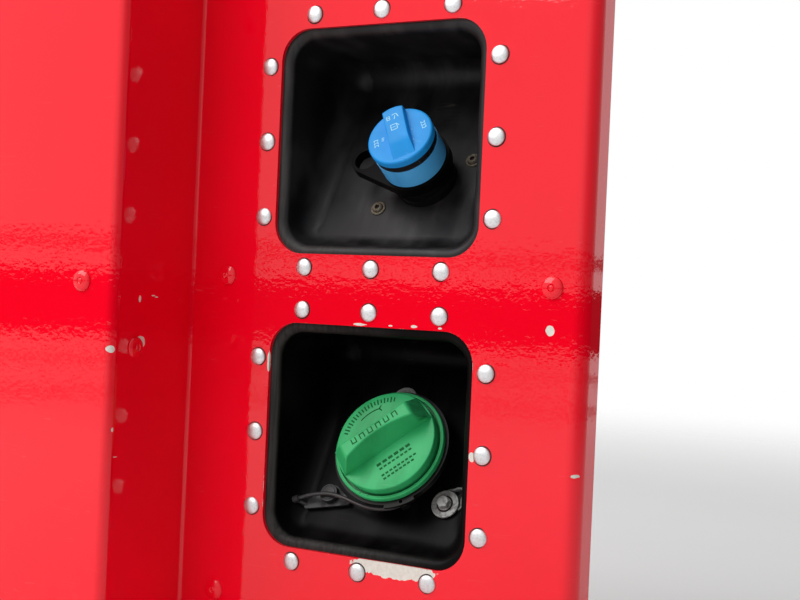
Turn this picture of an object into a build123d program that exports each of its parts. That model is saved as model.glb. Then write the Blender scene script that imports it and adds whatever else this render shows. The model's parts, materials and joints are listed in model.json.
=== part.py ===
"""Fuel and exhaust fluid filler panel from the side of a fire truck body.

A formed aluminium sheet carries two moulded pockets, one above the other. A filler neck rises
from the sloped floor of each pocket and is closed by a screw cap: the exhaust fluid cap above,
the diesel cap below.

Frame: millimetres, X to the right, Y into the truck, Z up. The origin is the centre of the
sheet's fixing holes, on the sheet's rear face. The sheet is seen from -Y.
"""
import math
import os

from build123d import *

# Sheet: the recessed face with the pockets, a wall that comes forward at its left, a raised face
sheet_t = 3.0
panel_h = 600.0
corner_x = -164.0
right_edge_x = 156.0
wall_depth = 90.0
raised_w = 128.0
raised_lip = 22.0
right_lip = 26.0
end_lip = 18.0
inner_corner_r = 3.0
outer_corner_r = 7.0
right_bend_r = 10.0
lip_bend_r = 5.0
relief_w = 8.0
lip_joint = 30.0

# Fixing holes of the sheet, for painted rivets
fixing_hole_d = 6.6
fixing_half_x = 131.0
fixing_rise = 240.0
wall_fixing_y = -67.5
wall_fixing_z = (206.0, -56.0)
raised_fixing_x = -194.0
raised_fixing_z = -9.0

# Pocket openings in the sheet and the rivets round them
opening_w = 166.0
opening_r = 23.0
pocket_x = -7.0
pocket_mid_z = -7.5
pocket_gap = 11.2
rivet_edge = 10.0
rivet_pitch = 56.0
rivet_hole_d = 6.6

# Moulded pocket
flange_edge = 10.0
flange_r = 30.0
flange_t = 4.0
wall_t = 3.5
mouth_gap = 1.0
mouth_lip_r = 6.0
bowl_corner_r = 26.0
draft = 2.0
neck_tilt = 30.0
ramp_foot_depth = 13.0
ramp_blend_r = 16.0
bowl_max_depth = 170.0
hole_clearance = 1.0
rib_t = 3.0
rib_reach = 24.0
rib_place = 28.0

# Necks: the plate behind the sloped floor, and a hose tail with the bead that the hose meets
plate_collar = 4.0
hose_grip = 32.0
hose_bead_r = 1.6

# Places on the sloped floor: right of the pocket's middle, and up the slope from its foot
def_neck_at = (17.7, 67.3)
fuel_neck_at = (6.6, 74.9)

# Exhaust fluid neck and cap. A side of a grip bar: how far it stands from the bar's middle line
# at its foot, at the ends of its top and at the middle of its top
def_neck_d = 46.0
def_mouth_d = 40.0
def_bore_d = 31.0
def_band_h = 5.5
def_band_gap = 2.5
def_mouth_drop = 2.5
def_flange_t = 5.0
def_screw_at = ((32.6, 18.3), (-33.6, -25.3))
def_screw_hole_d = 5.2
def_ear_r = 9.0
def_tail_d = 24.0
def_tail_bore_d = 18.0
def_tail_len = 65.0
def_mouth_chamfer = 0.8
def_strap_h = 21.8
def_strap_t = 3.6
def_strap_d = 53.0
def_loop_d = 23.0
def_loop_w = 2.8
def_loop_h = 8.0
def_loop_reach = 41.5
def_loop_turn = 178.0
def_cap_d = 49.4
def_lid_h = 6.0
def_lid_edge_r = 1.6
def_gasket_t = 5.6
def_gasket_d = 48.0
def_sleeve_d = 49.0
def_sleeve_h = 17.9
def_sleeve_edge_r = 0.8
def_bar_side = (8.4, 7.9, 7.5)
def_bar_h = 5.6
def_bar_near_run = 0.5
def_bar_far_run = 11.1
def_bar_far_inset = 3.0
def_bar_turn = -63.4
bar_edge_r = 1.0
def_plug_d = 30.0
def_plug_len = 12.0
cap_seat_gap = 0.3

# Diesel neck and cap
fuel_neck_d = 64.0
fuel_bore_d = 50.0
fuel_neck_h = 20.2
fuel_plate_t = 3.0
fuel_right_bolt_inset = 25.8
fuel_right_bolt_drop = 30.1
fuel_left_bolt_inset = 33.0
fuel_left_bolt_drop = 35.4
fuel_top_bolt_left = 14.0
fuel_top_bolt_rise = 50.0
fuel_bolt_hole_d = 6.6
fuel_ear_r = 12.0
fuel_tail_d = 44.5
fuel_tail_bore_d = 38.0
fuel_tail_len = 79.0
vent_d = 16.0
vent_bore_d = 11.0
vent_len = 70.0
vent_offset = 34.0
vent_lean = 12.0
vent_sink = 1.0
fuel_ring_h = 5.0
fuel_ring_d = 90.6
fuel_ring_t = 5.0
fuel_lug_turn = -62.0
fuel_lug_w = 7.0
fuel_lug_reach = 2.5
fuel_lug_t = 4.2
fuel_tab_t = 2.4
fuel_tab_from = -80.0
fuel_tab_to = -51.0
fuel_tab_hole_d = 2.6
fuel_tab_hole_turn = -63.5
fuel_cap_d = 86.0
fuel_rim_h = 4.5
fuel_rim_w = 2.6
fuel_groove_w = 1.6
fuel_groove_depth = 3.5
fuel_top_h = 7.0
fuel_rim_edge_r = 1.0
fuel_bar_near_side = (6.0, 5.3, 1.7)
fuel_bar_far_side = (15.5, 6.6, 4.4)
fuel_bar_run = 9.8
fuel_bar_h = 17.7
fuel_bar_turn = 43.6
fuel_bar_sink = 5.0
fuel_bar_margin = 0.5
fuel_plug_d = 49.0
fuel_plug_wall = 3.0
fuel_plug_len = 16.0

# The bent tab under the right neck bolt
bolt_tab_t = 1.6
bolt_tab_w = 14.0
bolt_tab_seat_d = 13.0
bolt_tab_run = 6.5
bolt_tab_lean = 6.6
bolt_tab_h = 11.0
bolt_tab_bend_r = 2.5
bolt_tab_notch_d = 5.6
bolt_tab_notch_depth = 3.5
bolt_tab_turn = 35.0

# The bracket under the left neck bolt, with the rod that holds the tether's end. Places are left
# of and below the bolt
tether_bracket_t = 2.0
tether_bracket_lift = 2.4
tether_bracket_spacer_d = 12.0
tether_bracket_lobes = (
    # left, below, radius
    (0.0, 0.0, 8.0),
    (17.5, 10.0, 3.0),
    (11.3, 5.0, 3.0),
    (-15.0, 3.5, 2.5),
)
tether_rod_d = 3.6
tether_rod_foot = (19.0, 9.5)
tether_eye_at = (23.0, 7.5)
tether_eye_h = 9.5
tether_end_d = 5.5
tether_end_len = 5.0

# Tether from the lug of the diesel cap's ring to the bracket
tether_d = 3.0
tether_lead = 8.0
tether_arc_share = 0.45
tether_sag = (
    # share of the way, below the straight line, out from the slope
    (0.20, 4.6, 17.2),
    (0.33, 3.4, 15.2),
    (0.46, 0.0, 14.0),
    (0.59, -3.4, 13.3),
    (0.73, -5.3, 12.6),
    (0.88, -3.4, 11.4),
)

rivet_frame = opening_w + 2 * rivet_edge
flange_w = rivet_frame + 2 * flange_edge
pocket_spacing = flange_w + pocket_gap
bowl_half_w = opening_w / 2 - mouth_gap - mouth_lip_r
pocket_top_z = pocket_mid_z + pocket_spacing / 2
pocket_low_z = pocket_mid_z - pocket_spacing / 2
raised_front_y = -(sheet_t + wall_depth)
def_cap_base = def_strap_h + def_strap_t + cap_seat_gap
def_mouth_h = def_cap_base + def_sleeve_h - def_mouth_drop
fuel_ring_base = fuel_neck_h + cap_seat_gap
fuel_cap_base = fuel_ring_base + fuel_ring_h + cap_seat_gap
fuel_lug_h = fuel_ring_base - cap_seat_gap - tether_d / 2
fuel_lug_len = fuel_lug_reach + fuel_ring_t - cap_seat_gap
fuel_bolt_at = (
    (bowl_half_w - fuel_right_bolt_inset - fuel_neck_at[0], -fuel_right_bolt_drop),
    (fuel_left_bolt_inset - bowl_half_w - fuel_neck_at[0], -fuel_left_bolt_drop),
    (-fuel_top_bolt_left, fuel_top_bolt_rise),
)


def slope_plane(pocket_z, right=0.0, up=0.0, out=0.0):
    """A plane on a pocket's sloped floor: x to the right, y up the slope, z along the neck."""
    tilt = math.radians(neck_tilt)
    along = Vector(0, math.sin(tilt), math.cos(tilt))
    normal = Vector(0, -math.cos(tilt), math.sin(tilt))
    foot = Vector(pocket_x, ramp_foot_depth, pocket_z - opening_w / 2)
    origin = foot + Vector(right, 0, 0) + along * up + normal * out
    return Plane(origin=origin, x_dir=(1, 0, 0), z_dir=normal)


def facing_plane(x, y, z):
    """A plane square to the recessed face: x to the right, z into the truck."""
    return Plane(origin=(x, y, z), x_dir=(1, 0, 0), z_dir=(0, 1, 0))


def disc(diameter, low, high):
    """A round solid on the z axis between two heights."""
    return extrude(Plane.XY.offset(low) * Circle(diameter / 2), amount=high - low)


def tube(outer, inner, low, high):
    """A hollow round solid on the z axis between two heights."""
    return disc(outer, low, high) - disc(inner, low, high)


def rivet_places():
    """The places of one pocket's rivets about its centre: three along each side."""
    half = rivet_frame / 2
    places = []
    for step in (-rivet_pitch, 0.0, rivet_pitch):
        places += [(step, half), (step, -half), (half, step), (-half, step)]
    return places


def sheet_path():
    """The middle of the sheet's thickness, seen from above, from the left lip to the right lip."""
    mid = sheet_t / 2
    left = corner_x - raised_w - sheet_t
    points = [
        (left + mid, raised_front_y + raised_lip),
        (left + mid, raised_front_y + mid),
        (corner_x - mid, raised_front_y + mid),
        (corner_x - mid, -mid),
        (right_edge_x - mid, -mid),
        (right_edge_x - mid, right_lip),
    ]
    radii = [lip_bend_r, outer_corner_r - mid, inner_corner_r + mid, right_bend_r - mid]
    return FilletPolyline(*points, radius=radii)


def end_return(side):
    """The lip that turns back at the sheet's top (side 1) or bottom (side -1) edge."""
    mid = sheet_t / 2
    left = corner_x + relief_w
    right = right_edge_x - right_bend_r - relief_w
    edge = side * (panel_h / 2 - mid)
    points = [(left, -mid, edge - side * lip_joint), (left, -mid, edge), (left, end_lip, edge)]
    path = FilletPolyline(*points, radius=lip_bend_r)
    start = Plane(origin=path @ 0, x_dir=(1, 0, 0), z_dir=path % 0)
    width = right - left
    section = start * Pos(width / 2, 0) * Rectangle(width, sheet_t)
    return sweep(section, path=path)


def make_filler_panel():
    """The formed sheet with its two openings, rivet holes and fixing holes."""
    path = sheet_path()
    start = Plane(origin=path @ 0, x_dir=(0, 0, 1), z_dir=path % 0)
    sheet = sweep(start * Rectangle(panel_h, sheet_t), path=path)
    left = corner_x + relief_w
    right = right_edge_x - right_bend_r - relief_w
    for side in (1, -1):
        edge = side * (panel_h / 2 - sheet_t / 2 - lip_joint / 2)
        cut_h = lip_joint + sheet_t
        notch = Box(right - left, 4 * sheet_t, cut_h)
        sheet -= Pos((left + right) / 2, 0, edge + side * sheet_t / 2) * notch
        sheet += end_return(side)
        for x in (left, right):
            relief = Box(relief_w / 2, 4 * sheet_t, 2 * lip_bend_r + sheet_t)
            sheet -= Pos(x, 0, side * panel_h / 2) * relief
    for z in (pocket_top_z, pocket_low_z):
        face = facing_plane(pocket_x, -2 * sheet_t, z)
        sheet -= extrude(face * RectangleRounded(opening_w, opening_w, opening_r), amount=3 * sheet_t)
        for x, y in rivet_places():
            sheet -= extrude(face * Pos(x, y) * Circle(rivet_hole_d / 2), amount=3 * sheet_t)
    for z in (-fixing_rise, 0.0, fixing_rise):
        for x in (-fixing_half_x, fixing_half_x):
            face = facing_plane(x, -2 * sheet_t, z)
            sheet -= extrude(face * Circle(fixing_hole_d / 2), amount=3 * sheet_t)
        face = facing_plane(raised_fixing_x, raised_front_y - sheet_t, raised_fixing_z + z)
        sheet -= extrude(face * Circle(fixing_hole_d / 2), amount=3 * sheet_t)
    for z in wall_fixing_z:
        face = Plane(origin=(corner_x + sheet_t, wall_fixing_y, z), z_dir=(-1, 0, 0))
        sheet -= extrude(face * Circle(fixing_hole_d / 2), amount=3 * sheet_t)
    return sheet


def bowl_solid(pocket_z, grow):
    """The space inside a pocket, grown on every side by a wall's thickness."""
    width = 2 * (bowl_half_w + grow)
    base = facing_plane(pocket_x, 0, pocket_z)
    shape = base * RectangleRounded(width, width, bowl_corner_r - mouth_gap - mouth_lip_r + grow)
    bowl = extrude(shape, amount=bowl_max_depth, taper=draft)
    slope = slope_plane(pocket_z, out=-grow)
    side = 4 * opening_w
    half_space = Box(side, side, side, align=(Align.CENTER, Align.CENTER, Align.MAX))
    bowl -= slope * half_space
    floor = bowl.faces().sort_by(lambda face: abs(slope.to_local_coords(face.center()).Z))[0]
    return fillet(floor.edges(), radius=ramp_blend_r + grow)


def rib_solid():
    """A gusset between the bowl's side and the flange's back, at the right of the bowl."""
    outer = flange_w / 2 - rib_t
    outline = Polyline(
        (bowl_half_w, 0), (outer, 0), (outer, flange_t), (bowl_half_w, rib_reach), close=True
    )
    return extrude(Plane.XZ * make_face(outline), amount=rib_t / 2, both=True)


def make_pocket(pocket_z, hole_at, hole_d, screw_holes, screw_hole_d):
    """A moulded pocket: a riveted flange, a bowl with a sloped floor, and stiffening ribs."""
    front = facing_plane(pocket_x, 0, pocket_z)
    flange = extrude(front * RectangleRounded(flange_w, flange_w, flange_r), amount=flange_t)
    pocket = flange + bowl_solid(pocket_z, wall_t)
    cavity = bowl_solid(pocket_z, 0.0)
    for quarter in range(4):
        for place in (-rib_place, rib_place):
            pocket += front * Rot(0, 0, 90 * quarter) * Pos(0, place, 0) * rib_solid()
    pocket -= cavity
    rim = pocket.faces().sort_by(Axis.Y)[0].inner_wires()[0]
    pocket = fillet(rim.edges(), radius=mouth_lip_r)
    for x, y in rivet_places():
        pocket -= extrude(front * Pos(x, y) * Circle(rivet_hole_d / 2), amount=flange_t + wall_t)
    seat = slope_plane(pocket_z, hole_at[0], hole_at[1])
    pocket -= seat * disc(hole_d, -2 * wall_t, wall_t)
    for x, y in screw_holes:
        pocket -= seat * Pos(x, y) * disc(screw_hole_d, -2 * wall_t, wall_t)
    return pocket


def eared_plate(neck_d, ear_places, ear_r, thickness):
    """A flat plate behind the sloped floor: a collar round the neck with an ear at each screw."""
    plate = Circle(neck_d / 2 + plate_collar)
    for x, y in ear_places:
        reach = math.hypot(x, y)
        turn = math.degrees(math.atan2(y, x))
        ear = SlotCenterToCenter(reach, 2 * ear_r)
        plate += Rot(0, 0, turn) * Pos(reach / 2, 0) * ear
    return extrude(Plane.XY.offset(-wall_t - thickness) * plate, amount=thickness)


def hanging_cone(low_d, top_d, top, height):
    """A cone on the z axis that hangs from a height and narrows on its way down."""
    cone = Cone(low_d / 2, top_d / 2, height, align=(Align.CENTER, Align.CENTER, Align.MAX))
    return Pos(0, 0, top) * cone


def hose_tail(diameter, low, top):
    """A solid hose tail between two heights: a plain end for the hose, and the bead it meets."""
    bead = Torus(diameter / 2, hose_bead_r)
    return disc(diameter, low, top) + Pos(0, 0, low + hose_grip + hose_bead_r) * bead


def make_def_neck():
    """The exhaust fluid filler neck, with its mouth in the pocket and its hose tail behind."""
    back = -wall_t - def_flange_t
    neck = disc(def_mouth_d, back, def_mouth_h)
    for low in (back, def_strap_h - def_band_gap - def_band_h):
        neck += disc(def_neck_d, low, low + def_band_h + max(0.0, -low))
    neck += eared_plate(def_neck_d, def_screw_at, def_ear_r, def_flange_t)
    cone_h = (def_neck_d - def_tail_d) / 2
    tail_top = back - cone_h
    tail_end = tail_top - def_tail_len
    neck += hanging_cone(def_tail_d, def_neck_d, back, cone_h)
    neck += hose_tail(def_tail_d, tail_end, tail_top)
    neck -= disc(def_bore_d, back, def_mouth_h)
    neck -= hanging_cone(def_tail_bore_d, def_bore_d, back, cone_h)
    neck -= disc(def_tail_bore_d, tail_end, tail_top)
    for x, y in def_screw_at:
        neck -= Pos(x, y) * disc(def_screw_hole_d, back, -wall_t)
    rim = neck.faces().sort_by(Axis.Z)[-1].edges()
    return chamfer(rim, def_mouth_chamfer)


def make_def_strap():
    """The ring under the exhaust fluid cap's sleeve, drawn out at its left into a finger loop."""
    high = def_strap_h + def_strap_t
    low = high - def_loop_h
    loop_at = Rot(0, 0, def_loop_turn) * Pos(def_loop_reach, 0)
    outline = make_hull([*Circle(def_strap_d / 2).edges(), *(loop_at * Circle(def_loop_d / 2)).edges()])
    strap = extrude(Plane.XY.offset(low) * outline, amount=high - low)
    strap -= disc(def_strap_d - 2 * def_loop_w, low, def_strap_h)
    strap -= disc(def_mouth_d + 2 * cap_seat_gap, low, high)
    return strap - loop_at * disc(def_loop_d - 2 * def_loop_w, low, high)


def grip_bar(length, near, far, height, near_run, far_run, far_inset, sink):
    """A grip bar along x with sloped ends. Each side goes from its foot up to a waisted top edge."""
    half = length / 2
    near_foot, near_end, near_mid = near
    far_foot, far_end, far_mid = far
    foot = make_face(
        Polyline((-half, -near_foot), (half, -near_foot), (half, far_foot), (-half, far_foot), close=True)
    )
    top = make_face(
        [
            ThreePointArc((-half, -near_end), (0, -near_mid), (half, -near_end)),
            Line((half, -near_end), (half, far_end)),
            ThreePointArc((half, far_end), (0, far_mid), (-half, far_end)),
            Line((-half, far_end), (-half, -near_end)),
        ]
    )
    body = loft([foot, Plane.XY.offset(height) * top], ruled=True) + extrude(foot, amount=-sink)
    side = Polyline(
        (-half, -sink),
        (half - far_inset, -sink),
        (half - far_inset, 0),
        (half - far_run, height),
        (near_run - half, height),
        (-half, 0),
        close=True,
    )
    bar = body & extrude(Plane.XZ * make_face(side), amount=near_foot + far_foot, both=True)
    return fillet(bar.faces().sort_by(Axis.Z)[-1].edges(), bar_edge_r)


def make_def_cap():
    """The exhaust fluid cap's lid with its grip bar and the plug that fills the neck's mouth."""
    low = def_cap_base + def_sleeve_h + def_gasket_t
    lid = disc(def_cap_d, low, low + def_lid_h)
    lid = fillet(lid.edges().group_by(Axis.Z)[-1], def_lid_edge_r)
    bar = grip_bar(
        def_cap_d - 2 * def_lid_edge_r,
        def_bar_side,
        def_bar_side,
        def_bar_h,
        def_bar_near_run,
        def_bar_far_run,
        def_bar_far_inset,
        def_lid_h / 2,
    )
    bar &= disc(def_cap_d - 2 * def_lid_edge_r, -def_lid_h, 2 * def_bar_h)
    lid += Rot(0, 0, def_bar_turn) * Pos(0, 0, low + def_lid_h) * bar
    lid += disc(def_plug_d, low - def_gasket_t - def_plug_len, low)
    return lid


def make_def_gasket():
    """The dark ring between the exhaust fluid cap's lid and its sleeve."""
    low = def_cap_base + def_sleeve_h
    return tube(def_gasket_d, def_plug_d + 2 * cap_seat_gap, low, low + def_gasket_t)


def make_def_sleeve():
    """The sleeve of the exhaust fluid cap, which screws over the neck."""
    low = def_cap_base
    top = low + def_sleeve_h
    sleeve = tube(def_sleeve_d, def_mouth_d + 2 * cap_seat_gap, low, top)
    sleeve += tube(def_sleeve_d, def_plug_d + 2 * cap_seat_gap, def_mouth_h + cap_seat_gap, top)
    return fillet(sleeve.edges().group_by(Axis.Z)[0].sort_by(SortBy.LENGTH)[-1], def_sleeve_edge_r)


def make_fuel_neck():
    """The diesel filler neck, with its bolted plate, hose tail and vent tail behind."""
    back = -wall_t - fuel_plate_t
    neck = disc(fuel_neck_d, back, fuel_neck_h)
    neck += eared_plate(fuel_neck_d, fuel_bolt_at, fuel_ear_r, fuel_plate_t)
    cone_h = (fuel_neck_d - fuel_tail_d) / 2
    tail_top = back - cone_h
    tail_end = tail_top - fuel_tail_len
    neck += hanging_cone(fuel_tail_d, fuel_neck_d, back, cone_h)
    neck += hose_tail(fuel_tail_d, tail_end, tail_top)
    vent_at = Pos(-vent_offset, 0, back) * Rot(0, vent_lean, 0)
    neck += vent_at * hose_tail(vent_d, -vent_len, vent_sink)
    neck -= disc(fuel_bore_d, back, fuel_neck_h)
    neck -= hanging_cone(fuel_tail_bore_d, fuel_bore_d, back, cone_h)
    neck -= disc(fuel_tail_bore_d, tail_end, tail_top)
    neck -= vent_at * disc(vent_bore_d, -vent_len, -vent_sink)
    for x, y in fuel_bolt_at:
        neck -= Pos(x, y) * disc(fuel_bolt_hole_d, back, -wall_t)
    return neck


def make_fuel_ring():
    """The ring under the diesel cap, with a pierced tab and under it the lug for the tether."""
    low = fuel_ring_base
    high = fuel_ring_base + fuel_ring_h
    lug = Box(fuel_lug_len, fuel_lug_w, fuel_lug_t, align=(Align.MAX, Align.CENTER, Align.CENTER))
    lug_at = Rot(0, 0, fuel_lug_turn) * Pos(fuel_ring_d / 2 + fuel_lug_reach, 0, fuel_lug_h)
    tab_r = fuel_ring_d / 2 + fuel_lug_reach
    sector = make_face(
        [
            Line((0, 0), PolarLine((0, 0), tab_r, fuel_tab_from) @ 1),
            CenterArc((0, 0), tab_r, fuel_tab_from, fuel_tab_to - fuel_tab_from),
            Line(PolarLine((0, 0), tab_r, fuel_tab_to) @ 1, (0, 0)),
        ]
    )
    tab = extrude(Plane.XY.offset(high - fuel_tab_t) * sector, amount=fuel_tab_t)
    hole = Rot(0, 0, fuel_tab_hole_turn) * Pos(tab_r - fuel_tab_hole_d, 0)
    ring = disc(fuel_ring_d, low, high) + lug_at * lug + tab
    ring -= hole * disc(fuel_tab_hole_d, low, high)
    return ring - disc(fuel_ring_d - 2 * fuel_ring_t, low, high)


def make_fuel_cap():
    """The diesel cap: a rim, a narrow groove, and a raised top with a tall diagonal grip bar."""
    low = fuel_cap_base
    rim_top = low + fuel_rim_h
    top = rim_top + fuel_top_h
    groove_d = fuel_cap_d - 2 * fuel_rim_w
    inner_d = groove_d - 2 * fuel_groove_w
    cap = disc(fuel_cap_d, low, rim_top)
    cap = fillet(cap.edges().group_by(Axis.Z)[-1], fuel_rim_edge_r)
    cap -= tube(groove_d, inner_d, rim_top - fuel_groove_depth, rim_top)
    raised = disc(inner_d, rim_top - fuel_groove_depth, top)
    cap += fillet(raised.edges().group_by(Axis.Z)[-1], fuel_rim_edge_r)
    bar = grip_bar(
        inner_d - 2 * fuel_bar_margin,
        fuel_bar_near_side,
        fuel_bar_far_side,
        fuel_bar_h,
        fuel_bar_run,
        fuel_bar_run,
        0.0,
        fuel_bar_sink,
    )
    bar &= disc(inner_d - 2 * fuel_bar_margin, -2 * fuel_bar_sink, 2 * fuel_bar_h)
    return cap + Rot(0, 0, fuel_bar_turn) * Pos(0, 0, top) * bar


def make_fuel_plug():
    """The diesel cap's inner plug, which enters the neck's bore."""
    low = fuel_neck_h - fuel_plug_len
    plug = disc(fuel_plug_d, low, fuel_cap_base)
    plug += disc(fuel_ring_d - 2 * fuel_ring_t - 2 * cap_seat_gap, fuel_ring_base, fuel_cap_base)
    return plug - disc(fuel_plug_d - 2 * fuel_plug_wall, low, fuel_neck_h)


def left_bolt_place():
    """The left neck bolt on the slope: right of the pocket's middle, and up from the slope's foot."""
    return Vector(fuel_neck_at[0] + fuel_bolt_at[1][0], fuel_neck_at[1] + fuel_bolt_at[1][1])


def tether_points():
    """The tether's route on the slope, from the side of the ring's lug to the bracket's eye."""
    turn = math.radians(fuel_lug_turn)
    outward = Vector(math.cos(turn), math.sin(turn))
    away = Vector(math.sin(turn), -math.cos(turn))
    lug_r = fuel_ring_d / 2 + fuel_lug_reach - fuel_lug_len / 2
    start = Vector(*fuel_neck_at, fuel_lug_h) + outward * lug_r + away * (fuel_lug_w / 2)
    bolt = left_bolt_place()
    end = Vector(bolt.X - tether_eye_at[0], bolt.Y - tether_eye_at[1], tether_eye_h)
    points = [start, start + away * tether_lead]
    for share, below, out in tether_sag:
        place = start + (end - start) * share
        points.append(Vector(place.X, place.Y - below, out))
    return [*points, end]


def make_tether_bracket():
    """The flat bracket on its spacer under the left neck bolt, and the rod to the tether's end."""
    bolt = left_bolt_place()
    low = tether_bracket_lift
    lobes = []
    for left, below, radius in tether_bracket_lobes:
        lobes += (Pos(bolt.X - left, bolt.Y - below) * Circle(radius)).edges()
    solid = extrude(Plane.XY.offset(low) * make_hull(lobes), amount=tether_bracket_t)
    solid += Pos(bolt.X, bolt.Y) * disc(tether_bracket_spacer_d, 0, low)
    before, end = tether_points()[-2:]
    run = (end - before).normalized()
    foot_left, foot_below = tether_rod_foot
    foot = Vector(bolt.X - foot_left, bolt.Y - foot_below, low + tether_bracket_t / 2)
    rod = end + run * (tether_end_len - tether_rod_d / 2) - foot
    solid += Plane(origin=foot, z_dir=rod) * disc(tether_rod_d, 0, rod.length)
    solid += Plane(origin=end, z_dir=run) * disc(tether_end_d, 0, tether_end_len)
    return solid - Pos(bolt.X, bolt.Y) * disc(fuel_bolt_hole_d, 0, low + tether_bracket_t)


def make_tether():
    """The thin cord from the ring's lug, slack under the cap, to the bracket's eye."""
    points = tether_points()
    path = FilletPolyline(*points, radius=tether_radii(points))
    start = Plane(origin=path @ 0, z_dir=path % 0)
    return sweep(start * Circle(tether_d / 2), path=path), path.length


def tether_radii(points):
    """For each corner of the tether's route, an arc that takes its share of the shorter run."""
    radii = []
    for before, here, after in zip(points, points[1:], points[2:]):
        turn = math.radians((here - before).get_angle(after - here))
        shorter = min((here - before).length, (after - here).length)
        radii.append(tether_arc_share * shorter / math.tan(turn / 2))
    return radii


def make_bolt_tab():
    """The notched tab under the right neck bolt, bent up clear of the pocket's side."""
    neck_x, neck_y = fuel_neck_at
    bolt_at = Pos(neck_x + fuel_bolt_at[0][0], neck_y + fuel_bolt_at[0][1]) * Rot(0, 0, bolt_tab_turn)
    mid = bolt_tab_t / 2
    rise = (bolt_tab_run + bolt_tab_lean, 0, bolt_tab_h)
    path = FilletPolyline((0, 0, mid), (bolt_tab_run, 0, mid), rise, radius=bolt_tab_bend_r)
    start = Plane(origin=path @ 0, x_dir=(0, 1, 0), z_dir=path % 0)
    tab = sweep(start * Rectangle(bolt_tab_w, bolt_tab_t), path=path)
    tip = Plane(origin=path @ 1, x_dir=(0, 1, 0), z_dir=path % 1)
    notch = Rot(90, 0, 0) * disc(bolt_tab_notch_d, -bolt_tab_t, bolt_tab_t)
    for across, back in ((-1, 0.0), (0, bolt_tab_notch_depth), (1, 0.0)):
        tab -= tip * Pos(across * bolt_tab_w / 2, 0, -back) * notch
    tab += disc(bolt_tab_seat_d, 0, bolt_tab_t)
    tab -= disc(fuel_bolt_hole_d, 0, bolt_tab_t)
    return bolt_at * tab


def main():
    """Build every piece and write one file for each."""
    os.makedirs("parts", exist_ok=True)
    def_at = slope_plane(pocket_top_z, *def_neck_at)
    fuel_at = slope_plane(pocket_low_z, *fuel_neck_at)
    low_slope = slope_plane(pocket_low_z)
    tether, tether_length = make_tether()
    radii = [round(radius, 1) for radius in tether_radii(tether_points())]
    print("tether length", round(tether_length, 1), "radii", radii)
    pieces = {
        "filler_panel": make_filler_panel(),
        "def_pocket": make_pocket(
            pocket_top_z, def_neck_at, def_neck_d + hole_clearance, def_screw_at, def_screw_hole_d
        ),
        "fuel_pocket": make_pocket(
            pocket_low_z, fuel_neck_at, fuel_neck_d + hole_clearance, fuel_bolt_at, fuel_bolt_hole_d
        ),
        "def_neck": def_at * make_def_neck(),
        "def_strap": def_at * make_def_strap(),
        "def_cap_sleeve": def_at * make_def_sleeve(),
        "def_cap_gasket": def_at * make_def_gasket(),
        "def_cap_lid": def_at * make_def_cap(),
        "fuel_neck": fuel_at * make_fuel_neck(),
        "fuel_cap_ring": fuel_at * make_fuel_ring(),
        "fuel_cap_plug": fuel_at * make_fuel_plug(),
        "fuel_cap_shell": fuel_at * make_fuel_cap(),
        "tether_bracket": low_slope * make_tether_bracket(),
        "fuel_tether": low_slope * tether,
        "bolt_tab": low_slope * make_bolt_tab(),
    }
    for name, piece in pieces.items():
        export_step(piece, f"parts/{name}.step")


main()
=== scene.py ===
"""Looks of a riveted filler panel: its fasteners, cap details and finishes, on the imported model."""

import json
import logging
import math
from dataclasses import dataclass
from enum import Enum
from typing import Callable, Optional, Sequence, Union

import bmesh
import bpy
from mathutils import Matrix, Vector


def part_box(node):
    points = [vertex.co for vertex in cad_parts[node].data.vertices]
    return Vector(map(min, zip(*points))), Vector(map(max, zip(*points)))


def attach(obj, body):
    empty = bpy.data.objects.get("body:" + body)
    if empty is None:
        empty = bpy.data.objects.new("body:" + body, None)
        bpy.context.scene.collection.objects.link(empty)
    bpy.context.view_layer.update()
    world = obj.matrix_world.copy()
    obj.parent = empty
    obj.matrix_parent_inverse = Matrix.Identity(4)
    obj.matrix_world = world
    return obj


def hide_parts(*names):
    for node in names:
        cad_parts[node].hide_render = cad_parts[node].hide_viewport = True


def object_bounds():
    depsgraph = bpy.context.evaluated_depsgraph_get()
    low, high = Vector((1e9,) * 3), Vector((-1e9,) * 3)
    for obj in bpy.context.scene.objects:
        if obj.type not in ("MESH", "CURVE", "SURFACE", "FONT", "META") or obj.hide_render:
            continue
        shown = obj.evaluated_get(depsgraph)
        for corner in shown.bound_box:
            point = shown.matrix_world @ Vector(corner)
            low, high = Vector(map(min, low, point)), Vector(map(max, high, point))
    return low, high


LOG = logging.getLogger("filler_panel")

# In metres: a millimetre, the radius at which a turned form closes, and the sheet's thickness
MM = 0.001
POINT_R = 0.01 * MM
SHEET_T = 3.0 * MM
# In millimetres: the least height of a grip bar's section
LEAST_H = 0.05
# Steps round a large bolt, and a bolt head's top as a share of its flats and its chamfer in degrees
FINE_STEPS = 72
HEX_TOP_SHARE = 0.46
HEX_CHAMFER = 30.0

Socket = bpy.types.NodeSocket
Mesh = bmesh.types.BMesh
Number = Union[float, Socket]
Color = tuple[float, float, float]
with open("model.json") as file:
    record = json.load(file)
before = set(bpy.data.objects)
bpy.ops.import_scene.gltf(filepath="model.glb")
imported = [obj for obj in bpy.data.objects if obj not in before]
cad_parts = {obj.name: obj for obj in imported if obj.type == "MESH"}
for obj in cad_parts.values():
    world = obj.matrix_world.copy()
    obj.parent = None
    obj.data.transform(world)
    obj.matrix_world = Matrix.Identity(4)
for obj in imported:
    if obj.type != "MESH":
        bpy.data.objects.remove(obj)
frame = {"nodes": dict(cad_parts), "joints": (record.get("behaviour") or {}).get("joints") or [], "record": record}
cad_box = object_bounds()


class Body(Enum):
    """The bodies that the pieces ride on."""

    PANEL = "root"
    FLUID_CAP = "def_cap"
    FUEL_CAP = "fuel_cap"


# Node trees


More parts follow.
